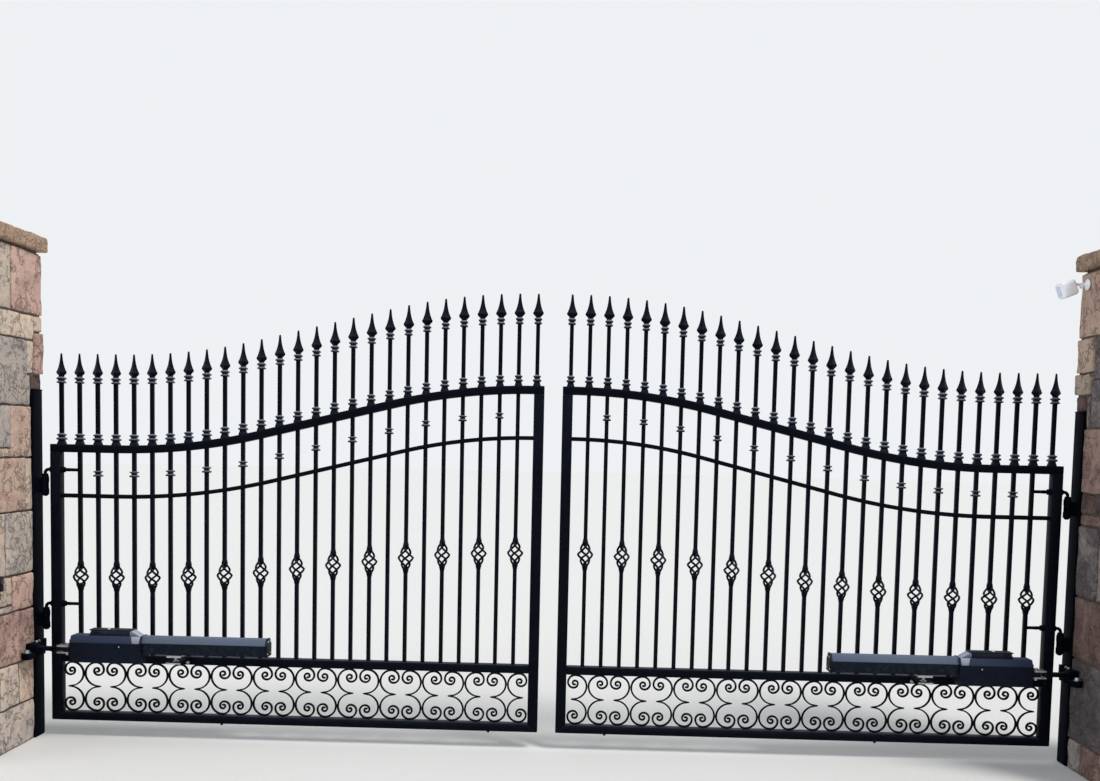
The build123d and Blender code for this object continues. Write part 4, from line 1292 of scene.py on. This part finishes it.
def makeLeafBracket(bm):
    low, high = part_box("gate_bracket_right")
    p, x, y, face = leafPlate, operator["carriageX"], operator["y"], leaf["y"] - leaf["depth"] / 2
    half, nose, bend, back = p["half"], p["nose"], low.y + p["corner"], face - p["plate"]
    softBox(bm, x - half, x + half, back, face, low.z, high.z, 0.0015)
    soften(bm, addSlab(bm, [(x - half, face), (x - half, bend), (x - nose, low.y), (x + nose, low.y),
                            (x + half, bend), (x + half, face)], high.z - p["plate"], high.z), 0.0015)
    first = set(bm.faces)
    for dx in p["bolts"]:
        addHex(bm, (x + dx, back, low.z + 0.013), (0, -1, 0), 0.013, 0.006, 0.009)
    addTurned(bm, [(0, 0.0092), (0, 0.016), (0.001, 0.0165), (0.0018, 0.016), (0.0018, 0.0092), (0, 0.0092)],
              (x, y, high.z), (0, 0, 1), 28)
    softBox(bm, x - 0.036, x + 0.036, low.y - 0.0015, low.y + 0.004, high.z - 0.0075, high.z - 0.0005, 0.001)
    paintNew(bm, first, 1)


bothSides(makeOperatorArm, "operatorArm", [postPaint, boltSteel, zinc], "piers", "operator_bracket")
bothSides(makeLeafBracket, "leafBracket", [postPaint, zinc], "leaf", "gate_bracket")
for side in sides:
    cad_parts[f"carriage_{side}"].material_slots[0].material = alloy
    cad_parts[f"drive_screw_{side}"].material_slots[0].material = screwSteel


# photo cells and the lamp under the right cap

cell = {"plate": 0.010, "inset": 0.002, "lift": 0.012}
lamp = {"y": 0.227, "z": 2.345, "size": (0.076, 0.080, 0.074), "flare": (1, 1.04, 1.06), "soft": 0.015,
        "glass": 0.026, "reach": 0.061, "drop": 0.024, "tilt": -20, "knob": (0.030, 0.004)}
lampArm = [(0, 0), (0, 0.026), (0.002, 0.0265), (0.004, 0.026), (0.007, 0.019), (0.011, 0.013),
           (0.016, 0.0095), (0.024, 0.0072), (0.040, 0.0068), (0.062, 0.0068), (0.070, 0.0080), (0.070, 0.0)]


def makePhotoCell(bm):
    low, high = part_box("photo_cell_right")
    middle, inset = (low + high) / 2, cell["inset"]
    softBox(bm, high.x - cell["plate"], high.x, low.y, high.y, low.z, high.z, 0.003)
    made = addBox(bm, low.x, high.x - 0.006, low.y + inset, high.y - inset, low.z + inset, high.z - inset)
    soften(bm, made, 0.007, 3)
    first = set(bm.faces)
    addTurned(bm, [(0, 0), (0, 0.014), (0.0015, 0.0135), (0.003, 0.010), (0.0035, 0.0)],
              (low.x + 0.0005, middle.y, middle.z + cell["lift"]), (-1, 0, 0), 28)
    paintNew(bm, first, 1)
    addTurned(bm, [(0, 0.0142), (0, 0.017), (0.002, 0.0165), (0.002, 0.0145), (0, 0.0142)],
              (low.x, middle.y, middle.z + cell["lift"]), (-1, 0, 0), 28)


def makeLamp():
    bm = bmesh.new()
    low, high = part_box("pier_lamp")
    y, z, face = lamp["y"], lamp["z"], leaf["postFace"]
    addTurned(bm, lampArm, (face, y, z), (-1, 0, 0), 32)
    addTurned(bm, [(0, 0), (0, 0.0085), (0.002, 0.0095), (0.012, 0.0095), (0.014, 0.0085), (0.014, 0)],
              (face - lamp["knob"][0], y, z - lamp["knob"][1]), (0, 0, -1), 20)
    head = bmesh.new()
    length, width, height = lamp["size"]
    made = addBox(head, -length / 2, length / 2, -width / 2, width / 2, -height / 2, height / 2)
    outer = [vert for vert in made if vert.co.x < 0]
    bmesh.ops.scale(head, vec=lamp["flare"], verts=outer)
    soften(head, made, lamp["soft"], 4)
    first, glass = set(head.faces), lamp["glass"]
    # the flat front face, whose darker blue-grey is partly painted shade
    made = addBox(head, -length / 2 - 0.001, -length / 2 + 0.006, -glass, glass, -glass, glass)
    soften(head, made, 0.004, 2)
    paintNew(head, first, 1)
    place = Matrix.Translation((face - lamp["reach"] - length / 2, y, z - lamp["drop"]))
    merge(bm, head, place @ Matrix.Rotation(math.radians(lamp["tilt"]), 4, "Y"))
    finishPiece(bm, "pierLamp", [lampPlastic, lampFace], "piers", ["pier_lamp"])


bothSides(makePhotoCell, "photoCell", [coverPlastic, eyeGlass], "piers", "photo_cell")
makeLamp()
print("lamp and photo cells")

sizes = {"cad": cadBox, "visual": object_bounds()}
sizes = {key: [[round(float(n), 4) for n in corner] for corner in value] for key, value in sizes.items()}
print("sizes", sizes)
